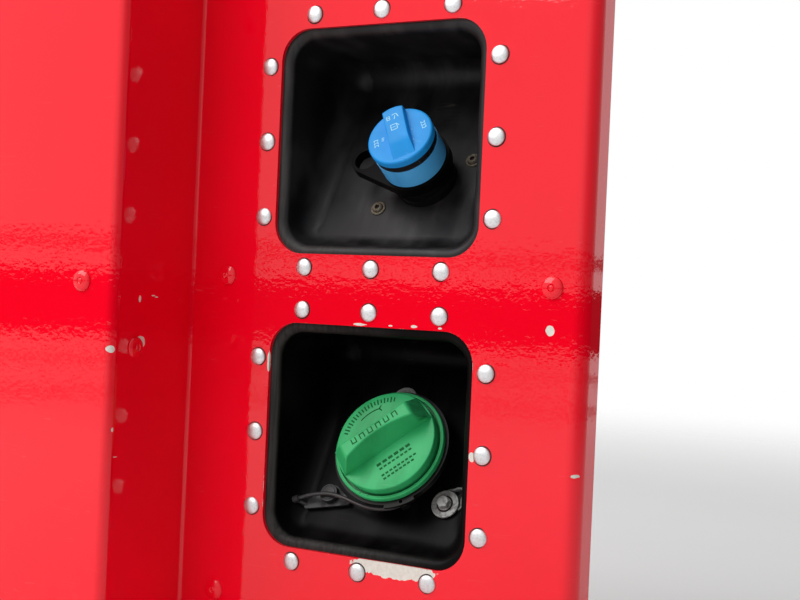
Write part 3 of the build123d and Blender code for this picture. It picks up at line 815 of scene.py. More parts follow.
class Finishes:
    """Every material of the part, built once."""

    def __init__(self) -> None:
        """Builds the materials."""
        made = (
            GlossPaint(
                "red_paint",
                (0.95, 0.0004, 0.016),
                0.022,
                losses=(
                    PaintLoss((22.0, -3.0, -202.5), (33.0, 2.0, 7.0), 0.18),
                    PaintLoss((-90.0, -3.0, -63.0), (1.6, 2.0, 7.6), 0.2),
                    PaintLoss((-13.5, -3.0, -31.6), (5.0, 2.0, 0.9), 0.3),
                    PaintLoss((11.3, -3.0, -31.3), (1.6, 2.0, 0.6), 0.3),
                    PaintLoss((29.9, -3.0, -31.0), (2.6, 2.0, 1.1), 0.3),
                    PaintLoss((50.1, -3.0, -31.2), (1.6, 2.0, 0.8), 0.3),
                    PaintLoss((78.2, -3.0, -117.5), (2.2, 2.0, 3.2), 0.2),
                    PaintLoss((130.8, -3.0, -28.5), (3.0, 2.0, 3.6), 0.12),
                    PaintLoss((152.0, -1.5, -123.1), (3.0, 4.0, 1.2), 0.3),
                    PaintLoss((-164.0, -64.5, -20.6), (2.0, 1.4, 2.6), 0.15),
                    PaintLoss((-166.0, -91.5, -56.8), (4.0, 3.0, 2.6), 0.1),
                    PaintLoss((-164.3, -62.3, -52.3), (1.0, 5.6, 4.8), 0.1),
                    PaintLoss((-164.0, -49.3, -17.9), (2.0, 2.0, 0.5), 0.1),
                    PaintLoss((-164.0, -45.9, -18.9), (2.0, 2.0, 0.5), 0.1),
                    PaintLoss((-164.0, -88.2, -114.5), (2.0, 0.9, 1.7), 0.1),
                    PaintLoss((-164.0, -84.4, -134.2), (2.0, 2.2, 0.4), 0.1),
                    PaintLoss((-38.0, -3.0, -197.2), (18.0, 2.0, 0.8), 0.6),
                ),
            ),
            MouldedPlastic(
                "upper_pocket_plastic",
                (0.006, 0.0056, 0.006),
                0.42,
                0.24,
                tone=(0.013, 0.0118, 0.0122),
                tone_share=0.8,
                grain_per_metre=1300.0,
                grain_depth=0.035 * MM,
                scuff=(0.07, 0.065, 0.055),
                scuff_share=0.6,
                scuff_rarity=0.64,
                dust=(0.04, 0.039, 0.04),
                dust_amount=0.35,
                smear=(0.036, 0.034, 0.035),
                smear_share=0.7,
                extra=lip_dust,
            ),
            # painted shade: the lower pocket is the same plastic as the upper, made darker and duller for the
            # shade and dark reflections in it
            MouldedPlastic(
                "lower_pocket_painted_shade_plastic",
                (0.0016, 0.0013, 0.0014),
                0.34,
                0.06,
                tone=(0.0036, 0.0031, 0.0032),
                tone_share=0.8,
                grain_per_metre=1300.0,
                grain_depth=0.03 * MM,
                scuff=(0.05, 0.046, 0.042),
                scuff_share=0.5,
                scuff_rarity=0.64,
                dust=(0.014, 0.0132, 0.0132),
                dust_amount=0.12,
                smear=(0.012, 0.011, 0.0113),
                smear_share=0.45,
                extra=lip_dust,
            ),
            MouldedPlastic(
                "neck_plastic",
                (0.0048, 0.0044, 0.0046),
                0.36,
                0.14,
                tone=(0.012, 0.011, 0.0105),
                grain_depth=0.02 * MM,
                scuff=(0.05, 0.042, 0.035),
                dust=(0.045, 0.04, 0.036),
                dust_amount=0.22,
            ),
            MouldedPlastic(
                "blue_plastic",
                (0.012, 0.31, 0.78),
                0.36,
                0.18,
                tone=(0.009, 0.235, 0.62),
                tone_share=0.7,
                grain_per_metre=2200.0,
                grain_depth=0.012 * MM,
                scuff=(0.12, 0.45, 0.82),
                scuff_share=0.3,
                dust=(0.1, 0.4, 0.8),
                dust_amount=0.12,
            ),
            MouldedPlastic(
                "pale_blue_plastic",
                (0.055, 0.38, 0.8),
                0.42,
                0.4,
                tone=(0.09, 0.46, 0.86),
                tone_share=0.8,
                grain_per_metre=2200.0,
                grain_depth=0.012 * MM,
                scuff=(0.22, 0.5, 0.72),
                scuff_share=0.4,
                dust=(0.25, 0.45, 0.6),
                dust_amount=0.25,
                smear=(0.03, 0.19, 0.44),
                smear_share=0.35,
            ),
            MouldedPlastic(
                "seal_rubber",
                (0.004, 0.004, 0.0046),
                0.5,
                0.2,
                tone=(0.009, 0.0088, 0.009),
                dust=(0.04, 0.038, 0.037),
                dust_amount=0.2,
            ),
            MouldedPlastic(
                "strap_plastic",
                (0.0018, 0.0016, 0.0017),
                0.36,
                0.04,
                tone=(0.004, 0.0036, 0.0035),
                grain_depth=0.02 * MM,
                scuff=(0.035, 0.03, 0.026),
                dust=(0.022, 0.02, 0.019),
                dust_amount=0.08,
            ),
            MouldedPlastic(
                "green_plastic",
                (0.032, 0.43, 0.14),
                0.34,
                0.2,
                tone=(0.036, 0.5, 0.17),
                tone_share=0.5,
                grain_per_metre=2000.0,
                grain_depth=0.012 * MM,
                scuff=(0.12, 0.58, 0.26),
                scuff_share=0.35,
                dust=(0.12, 0.52, 0.26),
                dust_amount=0.12,
                smear=(0.012, 0.22, 0.06),
                smear_share=0.4,
                extra=cap_dirt_and_painted_shade,
            ),
            MouldedPlastic(
                "green_mark",
                (0.006, 0.115, 0.03),
                0.6,
                0.08,
                tone=(0.008, 0.15, 0.04),
                grain_per_metre=2400.0,
                grain_depth=0.01 * MM,
                scuff=(0.05, 0.35, 0.12),
                dust_amount=0.05,
            ),
            MouldedPlastic(
                "pale_print",
                (0.4, 0.76, 0.9),
                0.5,
                0.2,
                tone=(0.25, 0.6, 0.86),
                tone_share=0.6,
                grain_per_metre=2400.0,
                grain_depth=0.01 * MM,
                scuff=(0.1, 0.4, 0.8),
                dust_amount=0.1,
            ),
            WornMetal(
                "zinc_steel",
                (0.34, 0.34, 0.33),
                0.5,
                tarnish=(0.17, 0.166, 0.158),
                tarnish_share=0.8,
                spots=420.0,
                metallic=0.35,
                mark_depth=0.012 * MM,
            ),
            WornMetal(
                "rivet_aluminium",
                (0.78, 0.78, 0.79),
                0.36,
                tarnish=(0.42, 0.42, 0.42),
                tarnish_share=0.35,
                mark_depth=0.012 * MM,
            ),
            WornMetal(
                "rusty_steel",
                (0.16, 0.135, 0.095),
                0.62,
                tarnish=(0.045, 0.032, 0.02),
                tarnish_share=0.9,
                spots=900.0,
                metallic=0.3,
            ),
            WornMetal(
                "dark_steel",
                (0.016, 0.0155, 0.0155),
                0.4,
                tarnish=(0.034, 0.031, 0.029),
                spots=420.0,
                metallic=0.3,
                mark_depth=0.012 * MM,
            ),
            # painted shade: this steel is darkened overall for the shade that the bracket and the clip lie in
            WornMetal(
                "steel_darkened_as_painted_shade",
                (0.036, 0.0352, 0.0356),
                0.45,
                tarnish=(0.014, 0.0135, 0.0135),
                tarnish_share=0.95,
                spots=130.0,
                metallic=0.4,
                mark_depth=0.012 * MM,
            ),
            # grime and painted shade: the dark finish of the rings and hollows round the heads
            MouldedPlastic(
                "dirt_and_painted_shade",
                (0.02, 0.006, 0.006),
                0.85,
                tone=(0.04, 0.014, 0.014),
                dust_amount=0.0,
            ),
            MouldedPlastic(
                "tether_plastic",
                (0.034, 0.0335, 0.034),
                0.32,
                0.45,
                tone=(0.018, 0.0175, 0.018),
                tone_share=0.4,
                grain_depth=0.01 * MM,
                dust=(0.12, 0.115, 0.115),
                dust_amount=0.3,
            ),
        )
        self.by_name = {finish.name: finish.build() for finish in made}

    def __getitem__(self, name: str) -> bpy.types.Material:
        """The material of that name."""
        return self.by_name[name]

    def dress_node(self, node: str, finish: str) -> None:
        """Gives a CAD node its finish.

        Args:
            node: the node's name.
            finish: the material's name.
        """
        piece = frame["nodes"][node]
        piece.data.materials.clear()
        piece.data.materials.append(self[finish])


# Mesh builders


def finish_mesh(name: str, mesh: Mesh, place: Matrix, crease: float = 35.0) -> bpy.types.Object:
    """Turns a built mesh into an object at its place, smooth except at sharp edges.

    Args:
        name: the object's name.
        mesh: the built mesh, which is freed.
        place: where its own origin goes.
        crease: the angle in degrees past which an edge is sharp.

    Returns:
        The object.
    """
    bmesh.ops.remove_doubles(mesh, verts=mesh.verts, dist=1e-6)
    bmesh.ops.recalc_face_normals(mesh, faces=mesh.faces)
    data = bpy.data.meshes.new(name)
    mesh.to_mesh(data)
    mesh.free()
    data.transform(place)
    for polygon in data.polygons:
        polygon.use_smooth = True
    data.set_sharp_from_angle(angle=math.radians(crease))
    made = bpy.data.objects.new(name, data)
    bpy.context.scene.collection.objects.link(made)
    return made


def add_turned(mesh: Mesh, profile: Sequence[tuple], steps: int = 40, finish: int = 0) -> None:
    """Adds a turned form: a profile of radius and height spun about z.

    Args:
        mesh: the mesh to add to.
        profile: the radius and height of each ring, in metres; a radius may be a function of the turn.
        steps: how many steps a whole turn takes.
        finish: the material slot of its faces.
    """
    rings = []
    for radius, height in profile:
        ring = []
        for step in range(steps):
            turn = math.tau * step / steps
            reach = radius(turn) if callable(radius) else radius
            ring.append(mesh.verts.new((reach * math.cos(turn), reach * math.sin(turn), height)))
        rings.append(ring)
    for low, high in zip(rings, rings[1:]):
        for step in range(steps):
            after = (step + 1) % steps
            face = mesh.faces.new((low[step], low[after], high[after], high[step]))
            face.material_index = finish


def add_loft(mesh: Mesh, sections: Sequence[Sequence[Vector]], turn: float) -> None:
    """Adds a closed form through like sections, with a face at each end.

    Args:
        mesh: the mesh to add to.
        sections: the points of each section, in the same order round each.
        turn: how far the form is turned about z, in degrees.
    """
    swing = Matrix.Rotation(math.radians(turn), 4, "Z")
    rings = [[mesh.verts.new(swing @ point) for point in section] for section in sections]
    size = len(rings[0])
    for low, high in zip(rings, rings[1:]):
        for step in range(size):
            after = (step + 1) % size
            mesh.faces.new((low[step], low[after], high[after], high[step]))
    mesh.faces.new(rings[0])
    mesh.faces.new(rings[-1])


def quarter_round(steps: int) -> list[tuple[float, float]]:
    """The course of a quarter round from its side to its top, as shares of its radius.

    Args:
        steps: how many steps it takes.

    Returns:
        How far each point lies in from the side and how far below the top.
    """
    turns = [math.pi / 2 * step / steps for step in range(steps + 1)]
    return [(1 - math.cos(turn), 1 - math.sin(turn)) for turn in turns]


def soft_slope(slope: float, top: float, blend: float) -> float:
    """The lower of a slope and a level top, with the corner between them rounded.

    Args:
        slope: the slope's height here.
        top: the level's height.
        blend: how near in height the slope comes to the top before the corner starts to round.

    Returns:
        The rounded height.
    """
    gap = max(blend - abs(slope - top), 0.0) / blend
    return min(slope, top) - gap * gap * blend / 4.0


def hexagon(across_flats: float) -> Callable[[float], float]:
    """The reach of a hexagon's edge by turn.

    Args:
        across_flats: its width across flats.

    Returns:
        A function from turn to radius.
    """

    def reach(turn: float) -> float:
        """The edge's radius at a turn."""
        third = math.pi / 3
        inside = (turn % third) - third / 2
        return across_flats / 2 / math.cos(inside)

    return reach


def add_hex_head(mesh: Mesh, across_flats: float, low: float, high: float, finish: int = 0) -> None:
    """Adds a hexagonal bolt head with its chamfered top.

    Args:
        mesh: the mesh to add to.
        across_flats: its width across flats.
        low: the height of its foot.
        high: the height of its top.
        finish: the material slot of its faces.
    """
    side = hexagon(across_flats)
    top_r = across_flats * HEX_TOP_SHARE
    slope = math.tan(math.radians(HEX_CHAMFER))
    steps = FINE_STEPS
    foot, shoulder, top = [], [], []
    for step in range(steps):
        turn = math.tau * step / steps
        reach = side(turn)
        drop = (reach - top_r) * slope
        direction = Vector((math.cos(turn), math.sin(turn), 0.0))
        foot.append(mesh.verts.new(direction * reach + Vector((0, 0, low))))
        shoulder.append(mesh.verts.new(direction * reach + Vector((0, 0, high - drop))))
        top.append(mesh.verts.new(direction * top_r + Vector((0, 0, high))))
    for rings in ((foot, shoulder), (shoulder, top)):
        for step in range(steps):
            after = (step + 1) % steps
            face = mesh.faces.new((rings[0][step], rings[0][after], rings[1][after], rings[1][step]))
            face.material_index = finish
    cap = mesh.faces.new(top)
    cap.material_index = finish


def ride(
    piece: bpy.types.Object, body: Body, materials: Sequence[bpy.types.Material]
) -> None:
    """Dresses a piece, makes it ride on its body and reports it.

    Args:
        piece: the piece.
        body: the body that carries it.
        materials: its materials in slot order.
    """
    for material in materials:
        piece.data.materials.append(material)
    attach(piece, body.value)
    LOG.info("%s rides on %s", piece.name, body.value)


def facing(point: Vector, direction: Vector, turn: float = 0.0) -> Matrix:
    """A place on a face, with z along the way the face looks.

    Args:
        point: the place.
        direction: the way the face looks.
        turn: a turn about that way in degrees.

    Returns:
        The place as a matrix.
    """
    made = direction.to_track_quat("Z", "Y").to_matrix().to_4x4()
    made.translation = point
    return made @ Matrix.Rotation(math.radians(turn), 4, "Z")


# Sub-assemblies


@dataclass
class PanelFasteners:
    """The rivets of the sheet: bright ones round the openings and painted ones at the posts."""

    finishes: Finishes
    head_d: float = 12.8 * MM
    head_h: float = 2.6 * MM
    rim_h: float = 0.5 * MM
    painted_d: float = 15.5 * MM
    painted_h: float = 3.0 * MM
    pin_d: float = 4.6 * MM
    pitch: float = 56.0 * MM
    edge: float = 10.0 * MM
    dark_ring_d: float = 14.2 * MM
    rim_draft: float = 0.05 * MM
    dome_steps: int = 9
    size_drift: float = 0.012
    rise_drift: float = 0.06
    tilt: float = 1.2

    def dome(self, diameter: float, height: float) -> list[tuple[float, float]]:
        """The profile of a domed head from its rim to its crown.

        Args:
            diameter: the head's diameter.
            height: the head's height.

        Returns:
            Radius and height of each ring.
        """
        radius = diameter / 2
        crown = radius - self.rim_draft
        profile = [(radius - 0.3 * MM, 0.0), (radius, self.rim_h * 0.4), (crown, self.rim_h)]
        for step in range(1, self.dome_steps + 1):
            angle = math.pi / 2 * step / self.dome_steps
            level = self.rim_h + (height - self.rim_h) * math.sin(angle)
            profile.append((max(crown * math.cos(angle), POINT_R), level))
        return profile

    def bright_rivet(self, name: str, point: Vector, lean: float) -> None:
        """Builds one bright rivet with the thin dark line at its rim, grime and painted contact shade.

        Args:
            name: the piece's name.
            point: the hole's middle on the sheet's front.
            lean: a small turn that tells one rivet from the next.
        """
        mesh = bmesh.new()
        size = 1.0 + self.size_drift * math.sin(lean * 7.0)
        rise = 1.0 + self.rise_drift * math.sin(lean * 3.0)
        dome = self.dome(self.head_d, self.head_h)
        add_turned(mesh, [(radius * size, height * rise) for radius, height in dome])
        # the thin dark ring at the rim is grime and painted contact shade
        add_turned(mesh, ((self.dark_ring_d / 2, 0.02 * MM), (self.head_d / 2 - 0.4 * MM, 0.12 * MM)), finish=1)
        tilt = Matrix.Rotation(math.radians(self.tilt * math.sin(lean * 5.0)), 4, "X")
        piece = finish_mesh(name, mesh, facing(point, Vector((0, -1, 0)), lean * 57.0) @ tilt)
        ride(piece, Body.PANEL, (self.finishes["rivet_aluminium"], self.finishes["dirt_and_painted_shade"]))

    def painted_rivet(self, name: str, point: Vector, direction: Vector) -> None:
        """Builds one painted rivet, with the pin's ring in its crown.

        Args:
            name: the piece's name.
            point: the hole's middle on the sheet.
            direction: the way the sheet looks there.
        """
        mesh = bmesh.new()
        pin = self.pin_d / 2
        dome = self.dome(self.painted_d, self.painted_h)
        profile = [(radius, height) for radius, height in dome if radius > pin]
        crown = profile[-1][1]
        profile += [
            (pin + 0.3 * MM, crown + 0.15 * MM),
            (pin, crown - 0.55 * MM),
            (pin - 0.35 * MM, crown - 0.65 * MM),
            (pin - 0.7 * MM, crown - 0.1 * MM),
            (pin * 0.4, crown + 0.15 * MM),
            (POINT_R, crown + 0.2 * MM),
        ]
        add_turned(mesh, profile, 48)
        piece = finish_mesh(name, mesh, facing(point, direction), 60.0)
        ride(piece, Body.PANEL, (self.finishes["red_paint"],))

    def build(self) -> None:
        """Builds every rivet of the sheet."""
        front = -SHEET_T
        outward = Vector((0, -1, 0))
        for opening, label in ((UPPER, "upper"), (LOWER, "lower")):
            middle = opening.middle()
            half = opening.half() + self.edge
            number = 0
            for step in (-self.pitch, 0.0, self.pitch):
                for x, z in ((step, half), (half, step), (step, -half), (-half, step)):
                    number += 1
                    point = Vector((middle.x + x, front, middle.z + z))
                    self.bright_rivet(f"rivet_{label}_{number:02d}", point, 0.7 * number + half)
        mounts = {mount["name"]: mount for mount in frame["record"]["mounts"]}
        half_x = mounts["panel_fixings"]["dims"]["spacing_x_mm"] / 2 * MM
        half_z = mounts["panel_fixings"]["dims"]["spacing_y_mm"] / 2 * MM
        for row, z in enumerate((-half_z, 0.0, half_z)):
            for side, x in (("left", -half_x), ("right", half_x)):
                self.painted_rivet(f"painted_rivet_{side}_{row}", Vector((x, front, z)), outward)
            raised = Vector(mounts["raised_face_fixings"]["pos_m"]) + Vector((0.0, front, z))
            self.painted_rivet(f"painted_rivet_raised_{row}", raised, outward)
        wall = Vector(mounts["wall_fixings"]["pos_m"]) - Vector((front, 0.0, 0.0))
        rise = mounts["wall_fixings"]["dims"]["spacing_y_mm"] / 2 * MM
        for row, z in enumerate((-rise, rise)):
            self.painted_rivet(f"painted_rivet_wall_{row}", wall + Vector((0, 0, z)), Vector((1, 0, 0)))


@dataclass(frozen=True)
class Mark:
    """A small raised bar on a cap, in millimetres: its middle along and across, its size and turn."""

    along: float
    across: float
    length: float
    width: float
    turn: float = 0.0

    def at_angle(self, angle: float) -> "Mark":
        """The same mark with its place turned about the cap's middle by an angle in degrees."""
        turn = math.radians(angle)
        along = self.along * math.cos(turn) - self.across * math.sin(turn)
        across = self.along * math.sin(turn) + self.across * math.cos(turn)
        return Mark(along, across, self.length, self.width, self.turn + angle)


@dataclass
class CapMarks:
    """The raised or printed marks on one face of a cap."""

    neck: NeckLine
    height: float
    rise: float = 0.16 * MM
    sink: float = 0.05 * MM
    bevel: float = 0.12

    def build(self, name: str, marks: Sequence[Mark]) -> bpy.types.Object:
        """Builds the marks as one piece.

        Args:
            name: the piece's name.
            marks: the marks.

        Returns:
            The piece.
        """
        mesh = bmesh.new()
        for mark in marks:
            turn = math.radians(mark.turn)
            rings = []
            for inset, level in ((0.0, -self.sink), (0.0, self.rise * 0.5), (self.bevel, self.rise)):
                ring = []
                for side, end in ((-1, -1), (1, -1), (1, 1), (-1, 1)):
                    run = side * (mark.length / 2 - inset)
                    off = end * (mark.width / 2 - inset)
                    x = mark.along + run * math.cos(turn) - off * math.sin(turn)
                    y = mark.across + run * math.sin(turn) + off * math.cos(turn)
                    ring.append(mesh.verts.new((x * MM, y * MM, level)))
                rings.append(ring)
            mesh.faces.new(rings[-1])
            mesh.faces.new(list(reversed(rings[0])))
            for low, high in zip(rings, rings[1:]):
                for corner in range(4):
                    after = (corner + 1) % 4
                    mesh.faces.new((low[corner], low[after], high[after], high[corner]))
        return finish_mesh(name, mesh, self.neck.matrix(out=self.height), 20.0)


@dataclass
class FluidCap:
    """The exhaust fluid cap: a round lid with its grip bar and printed signs. Lengths are in millimetres."""

    finishes: Finishes
    lid_base: float = 49.2
    lid_r: float = 24.7
    lid_h: float = 6.0
    lid_edge: float = 1.6
    lid_foot_edge: float = 0.3
    lid_flat: tuple[float, ...] = (20.0, 10.0)
    bar_turn: float = -63.4
    bar_limit: float = 23.9
    bar_far: float = 20.1
    bar_run: float = 12.6
    bar_h: float = 5.6
    bar_foot: float = 8.4
    bar_end: float = 7.9
    bar_middle: float = 7.5
    bar_bow: float = 2.2
    bar_edge: float = 0.8
    bar_round: float = 1.6
    bar_soft: float = 1.4
    bar_sink: float = 0.4
    bar_flat: tuple[float, ...] = (-4.5, -1.5, 1.5, 4.5)
    round_steps: int = 6
    edge_steps: int = 5
    bar_steps: int = 60
    lid_steps: int = 96

    def bar_height(self, along: float) -> float:
        """The grip bar's height over the lid, with a rounded near end and a long far slope."""
        slope = (self.bar_far - along) * self.bar_h / self.bar_run
        high = soft_slope(slope, self.bar_h, self.bar_soft)
        inside = max(self.bar_round - (along + self.bar_limit), 0.0)
        return max(high - self.bar_round + math.sqrt(max(self.bar_round**2 - inside**2, 0.0)), LEAST_H)

    def bar_section(self, along: float, high: float) -> list[Vector]:
        """One section of the grip bar, from one foot over its top to the other.

        Args:
            along: the section's place along the bar.
            high: its height over the lid.

        Returns:
            The section's points in metres, before the bar's turn.
        """
        share = abs(along) / self.bar_limit
        top = self.bar_middle + (self.bar_end - self.bar_middle) * share * share
        edge = min(self.bar_edge, high / 2)
        shoulder = self.bar_foot + (top - self.bar_foot) * (high - edge) / self.bar_h
        side = [(self.bar_foot, -self.bar_sink), (self.bar_foot, 0.0), (shoulder, high - edge)]
        for inward, below in quarter_round(self.edge_steps)[1:]:
            side.append((shoulder - edge * inward, high - edge * below))
        outline = [(-across, level) for across, level in side]
        outline += [(across, high) for across in self.bar_flat]
        outline += reversed(side)
        bend = self.bar_bow * max(-along / self.bar_limit, 0.0) ** 3
        points = []
        for across, level in outline:
            bow = bend * (across / self.bar_foot) ** 2
            points.append(Vector((along + bow, across, self.lid_base + self.lid_h + level)) * MM)
        return points

    def lid(self) -> None:
        """Builds the lid: a disc with a round edge, and the grip bar with its soft ends."""
        mesh = bmesh.new()
        top = self.lid_base + self.lid_h
        foot_edge = self.lid_foot_edge
        profile = [
            (0.01, self.lid_base),
            (self.lid_r - foot_edge, self.lid_base),
            (self.lid_r, self.lid_base + foot_edge),
        ]
        for inward, below in quarter_round(self.round_steps):
            profile.append((self.lid_r - self.lid_edge * inward, top - self.lid_edge * below))
        profile += [(radius, top) for radius in (*self.lid_flat, 0.01)]
        add_turned(mesh, [(radius * MM, height * MM) for radius, height in profile], self.lid_steps)
        stations = [self.bar_round * inward - self.bar_limit for inward, _ in quarter_round(self.round_steps)]
        first = stations[-1]
        for step in range(1, self.bar_steps + 1):
            stations.append(first + (self.bar_far - first) * step / self.bar_steps)
        sections = [self.bar_section(-self.bar_limit, LEAST_H)]
        sections += [self.bar_section(along, self.bar_height(along)) for along in stations]
        add_loft(mesh, sections, self.bar_turn)
        piece = finish_mesh("exhaust_fluid_cap_lid", mesh, FLUID_NECK.matrix(), 32.0)
        ride(piece, Body.FLUID_CAP, (self.finishes["blue_plastic"],))
        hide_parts("def_cap_lid")

    def lid_marks(self) -> None:
        """Prints the pale signs on the lid: two rows of outlined bars, ticks and dots."""
        marks = []
        for angle, radius in ((30.0, 18.7), (-156.0, 18.0)):
            for step, width in ((-2.5, 2.3), (0.0, 2.6), (2.5, 2.3)):
                marks += [
                    Mark(radius + 1.35, step, 0.7, 1.9).at_angle(angle),
                    Mark(radius - 1.35, step, 0.7, 1.9).at_angle(angle),
                    Mark(radius, step - 0.6, width, 0.7).at_angle(angle),
                ]
        for step in (-1.3, 0.0, 1.3):
            marks.append(Mark(12.8, step, 2.0, 0.65).at_angle(-164.0))
        for radius, angle in ((9.8, 32.6), (12.7, -16.4)):
            marks.append(Mark(radius, 0.0, 0.6, 0.6).at_angle(angle))
        height = (self.lid_base + self.lid_h) * MM
        piece = CapMarks(FLUID_NECK, height).build("fluid_lid_marks", marks)
        ride(piece, Body.FLUID_CAP, (self.finishes["pale_print"],))

    def bar_marks(self) -> None:
        """Prints the pale signs on the grip bar: an outlined box, a bent bar and a small ladder."""
        marks = [
            Mark(-6.7, -1.2, 0.75, 5.0),
            Mark(-1.8, -1.2, 0.75, 5.0),
            Mark(-4.25, 1.1, 5.2, 0.75),
            Mark(-4.25, -3.5, 5.2, 0.75),
            Mark(-4.25, -1.2, 0.6, 2.6),
            Mark(-5.2, 2.1, 2.2, 0.7, 35.0),
            Mark(-14.4, 2.8, 3.8, 0.75, 20.0),
            Mark(-13.0, 0.6, 3.4, 0.75, -15.0),
            Mark(-16.2, 0.4, 0.75, 3.2, 10.0),
        ]
        for step in (-1.7, 0.0, 1.7):
            marks.append(Mark(-14.0 + step, -4.2, 0.65, 2.4))
        marks += [Mark(-14.0, -3.1, 4.0, 0.65), Mark(-14.0, -5.3, 4.0, 0.65)]
        height = (self.lid_base + self.lid_h + self.bar_h) * MM
        turned = [mark.at_angle(self.bar_turn) for mark in marks]
        piece = CapMarks(FLUID_NECK, height).build("fluid_bar_marks", turned)
        ride(piece, Body.FLUID_CAP, (self.finishes["pale_print"],))

    def build(self) -> None:
        """Builds the lid and its signs."""
        self.lid()
        self.lid_marks()
        self.bar_marks()


@dataclass
class FluidFiller:
    """The exhaust fluid filler: neck, strap with its loop, cap, and the neck's two screws."""

    finishes: Finishes
    screws: tuple[tuple[str, float, float], ...] = (
        # label, millimetres right of the neck, millimetres up the slope
        ("right", 32.6, 18.3),
        ("left", -33.6, -25.3),
    )
    washer_d: float = 11.7 * MM
    head_d: float = 7.4 * MM
    socket_af: float = 3.4 * MM
    socket_top: float = 2.8 * MM
    steps: int = 48

    def screw(self, name: str, right: float, up: float) -> None:
        """Builds one screw: a washer flange, a round head and its six-sided recess.

        Args:
            name: the piece's name.
            right: millimetres right of the neck.
            up: millimetres up the slope from the neck.
        """
        mesh = bmesh.new()
        washer = self.washer_d / 2
        head = self.head_d / 2
        socket = hexagon(self.socket_af)
        groove = ((washer - 1.5 * MM, 1.05 * MM), (washer - 1.7 * MM, 0.75 * MM), (head + 0.1 * MM, 0.7 * MM))
        rim = (
            (washer - 0.2 * MM, 0.05 * MM),
            (washer, 0.3 * MM),
            (washer - 0.15 * MM, 0.95 * MM),
            (washer - 0.5 * MM, 1.15 * MM),
            groove[0],
        )
        crown = (
            groove[-1],
            (head, 1.9 * MM),
            (head - 0.4 * MM, 2.6 * MM),
            (head - 1.1 * MM, 3.0 * MM),
            (hexagon(self.socket_af + 0.2 * MM), 3.05 * MM),
            (socket, self.socket_top),
        )
        recess = ((socket, self.socket_top), (socket, 1.4 * MM), (POINT_R, 1.3 * MM))
        # grime and painted shade: the groove round the head and the six-sided recess take the dark finish
        for profile, finish in ((rim, 0), (groove, 1), (crown, 0), (recess, 1)):
            add_turned(mesh, profile, self.steps, finish)
        piece = finish_mesh(name, mesh, FLUID_NECK.matrix(right * MM, up * MM))
        ride(piece, Body.PANEL, (self.finishes["rusty_steel"], self.finishes["dirt_and_painted_shade"]))

    def build(self) -> None:
        """Dresses the neck, strap and cap, and adds the screws and the cap's lid."""
        for node, finish in (
            ("def_pocket", "upper_pocket_plastic"),
            ("def_neck", "neck_plastic"),
            ("def_strap", "strap_plastic"),
            ("def_cap_sleeve", "pale_blue_plastic"),
            ("def_cap_gasket", "seal_rubber"),
        ):
            self.finishes.dress_node(node, finish)
        for label, right, up in self.screws:
            self.screw(f"fluid_neck_screw_{label}", right, up)
        FluidCap(self.finishes).build()


@dataclass
class BoltClip:
    """The thin notched clip under the right bolt of the diesel neck. Lengths are in millimetres."""

    finishes: Finishes
    right: float
    up: float
    thickness: float = 0.9
    lift: float = 0.25
    flat: float = 8.2
    curl: float = 0.11
    lip: float = 1.1
    inner: float = 5.0
    edges: tuple[tuple[float, float], ...] = (
        # angle in degrees, outer radius
        (98.0, 11.0),
        (88.0, 12.0),
        (76.0, 12.8),
        (68.0, 15.0),
        (60.0, 16.6),
        (53.0, 17.4),
        (47.0, 18.6),
        (42.0, 19.0),
        (37.0, 17.0),
        (31.0, 13.6),
        (22.0, 12.3),
        (12.0, 12.4),
        (4.0, 13.0),
        (-3.0, 13.4),
        (-9.0, 12.6),
        (-14.0, 11.0),
    )
    bands: tuple[tuple[float, float], ...] = (
        # share of the way out, share of the lip's height
        (0.0, 0.0),
        (0.35, 0.0),
        (0.7, 0.0),
        (0.92, 0.0),
        (1.0, 0.35),
        (1.0, 1.0),
    )
    hole_span: tuple[int, int] = (3, 6)
    hole_band: int = 1

    def build(self) -> None:
        """Builds the clip, curled up at its outer edge, with its slot and a painted highlight on its rim."""
        mesh = bmesh.new()
        rings = []
        for angle, outer in self.edges:
            turn = math.radians(angle)
            ring = []
            for share, level in self.bands:
                reach = self.inner + (outer - self.inner) * share
                x, y = reach * math.cos(turn), reach * math.sin(turn)
                high = self.lift + self.curl * max(x - self.flat, 0.0) ** 2 + level * self.lip
                ring.append(mesh.verts.new((x * MM, y * MM, high * MM)))
            rings.append(ring)
        for index, (low, high) in enumerate(zip(rings, rings[1:])):
            for step in range(len(low) - 1):
                if step == self.hole_band and self.hole_span[0] <= index < self.hole_span[1]:
                    continue
                face = mesh.faces.new((low[step], low[step + 1], high[step + 1], high[step]))
                # painted highlight: the curled lip's bands take the lighter zinc steel, and the rest takes the
                # darker steel
                face.material_index = int(step > self.hole_band + 1)
        piece = finish_mesh("neck_bolt_clip", mesh, FUEL_NECK.matrix(self.right * MM, self.up * MM), 50.0)
        sheet = piece.modifiers.new("sheet", "SOLIDIFY")
        sheet.thickness = self.thickness * MM
        sheet.offset = 0.0
        ride(piece, Body.PANEL, (self.finishes["steel_darkened_as_painted_shade"], self.finishes["zinc_steel"]))
        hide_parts("bolt_tab")


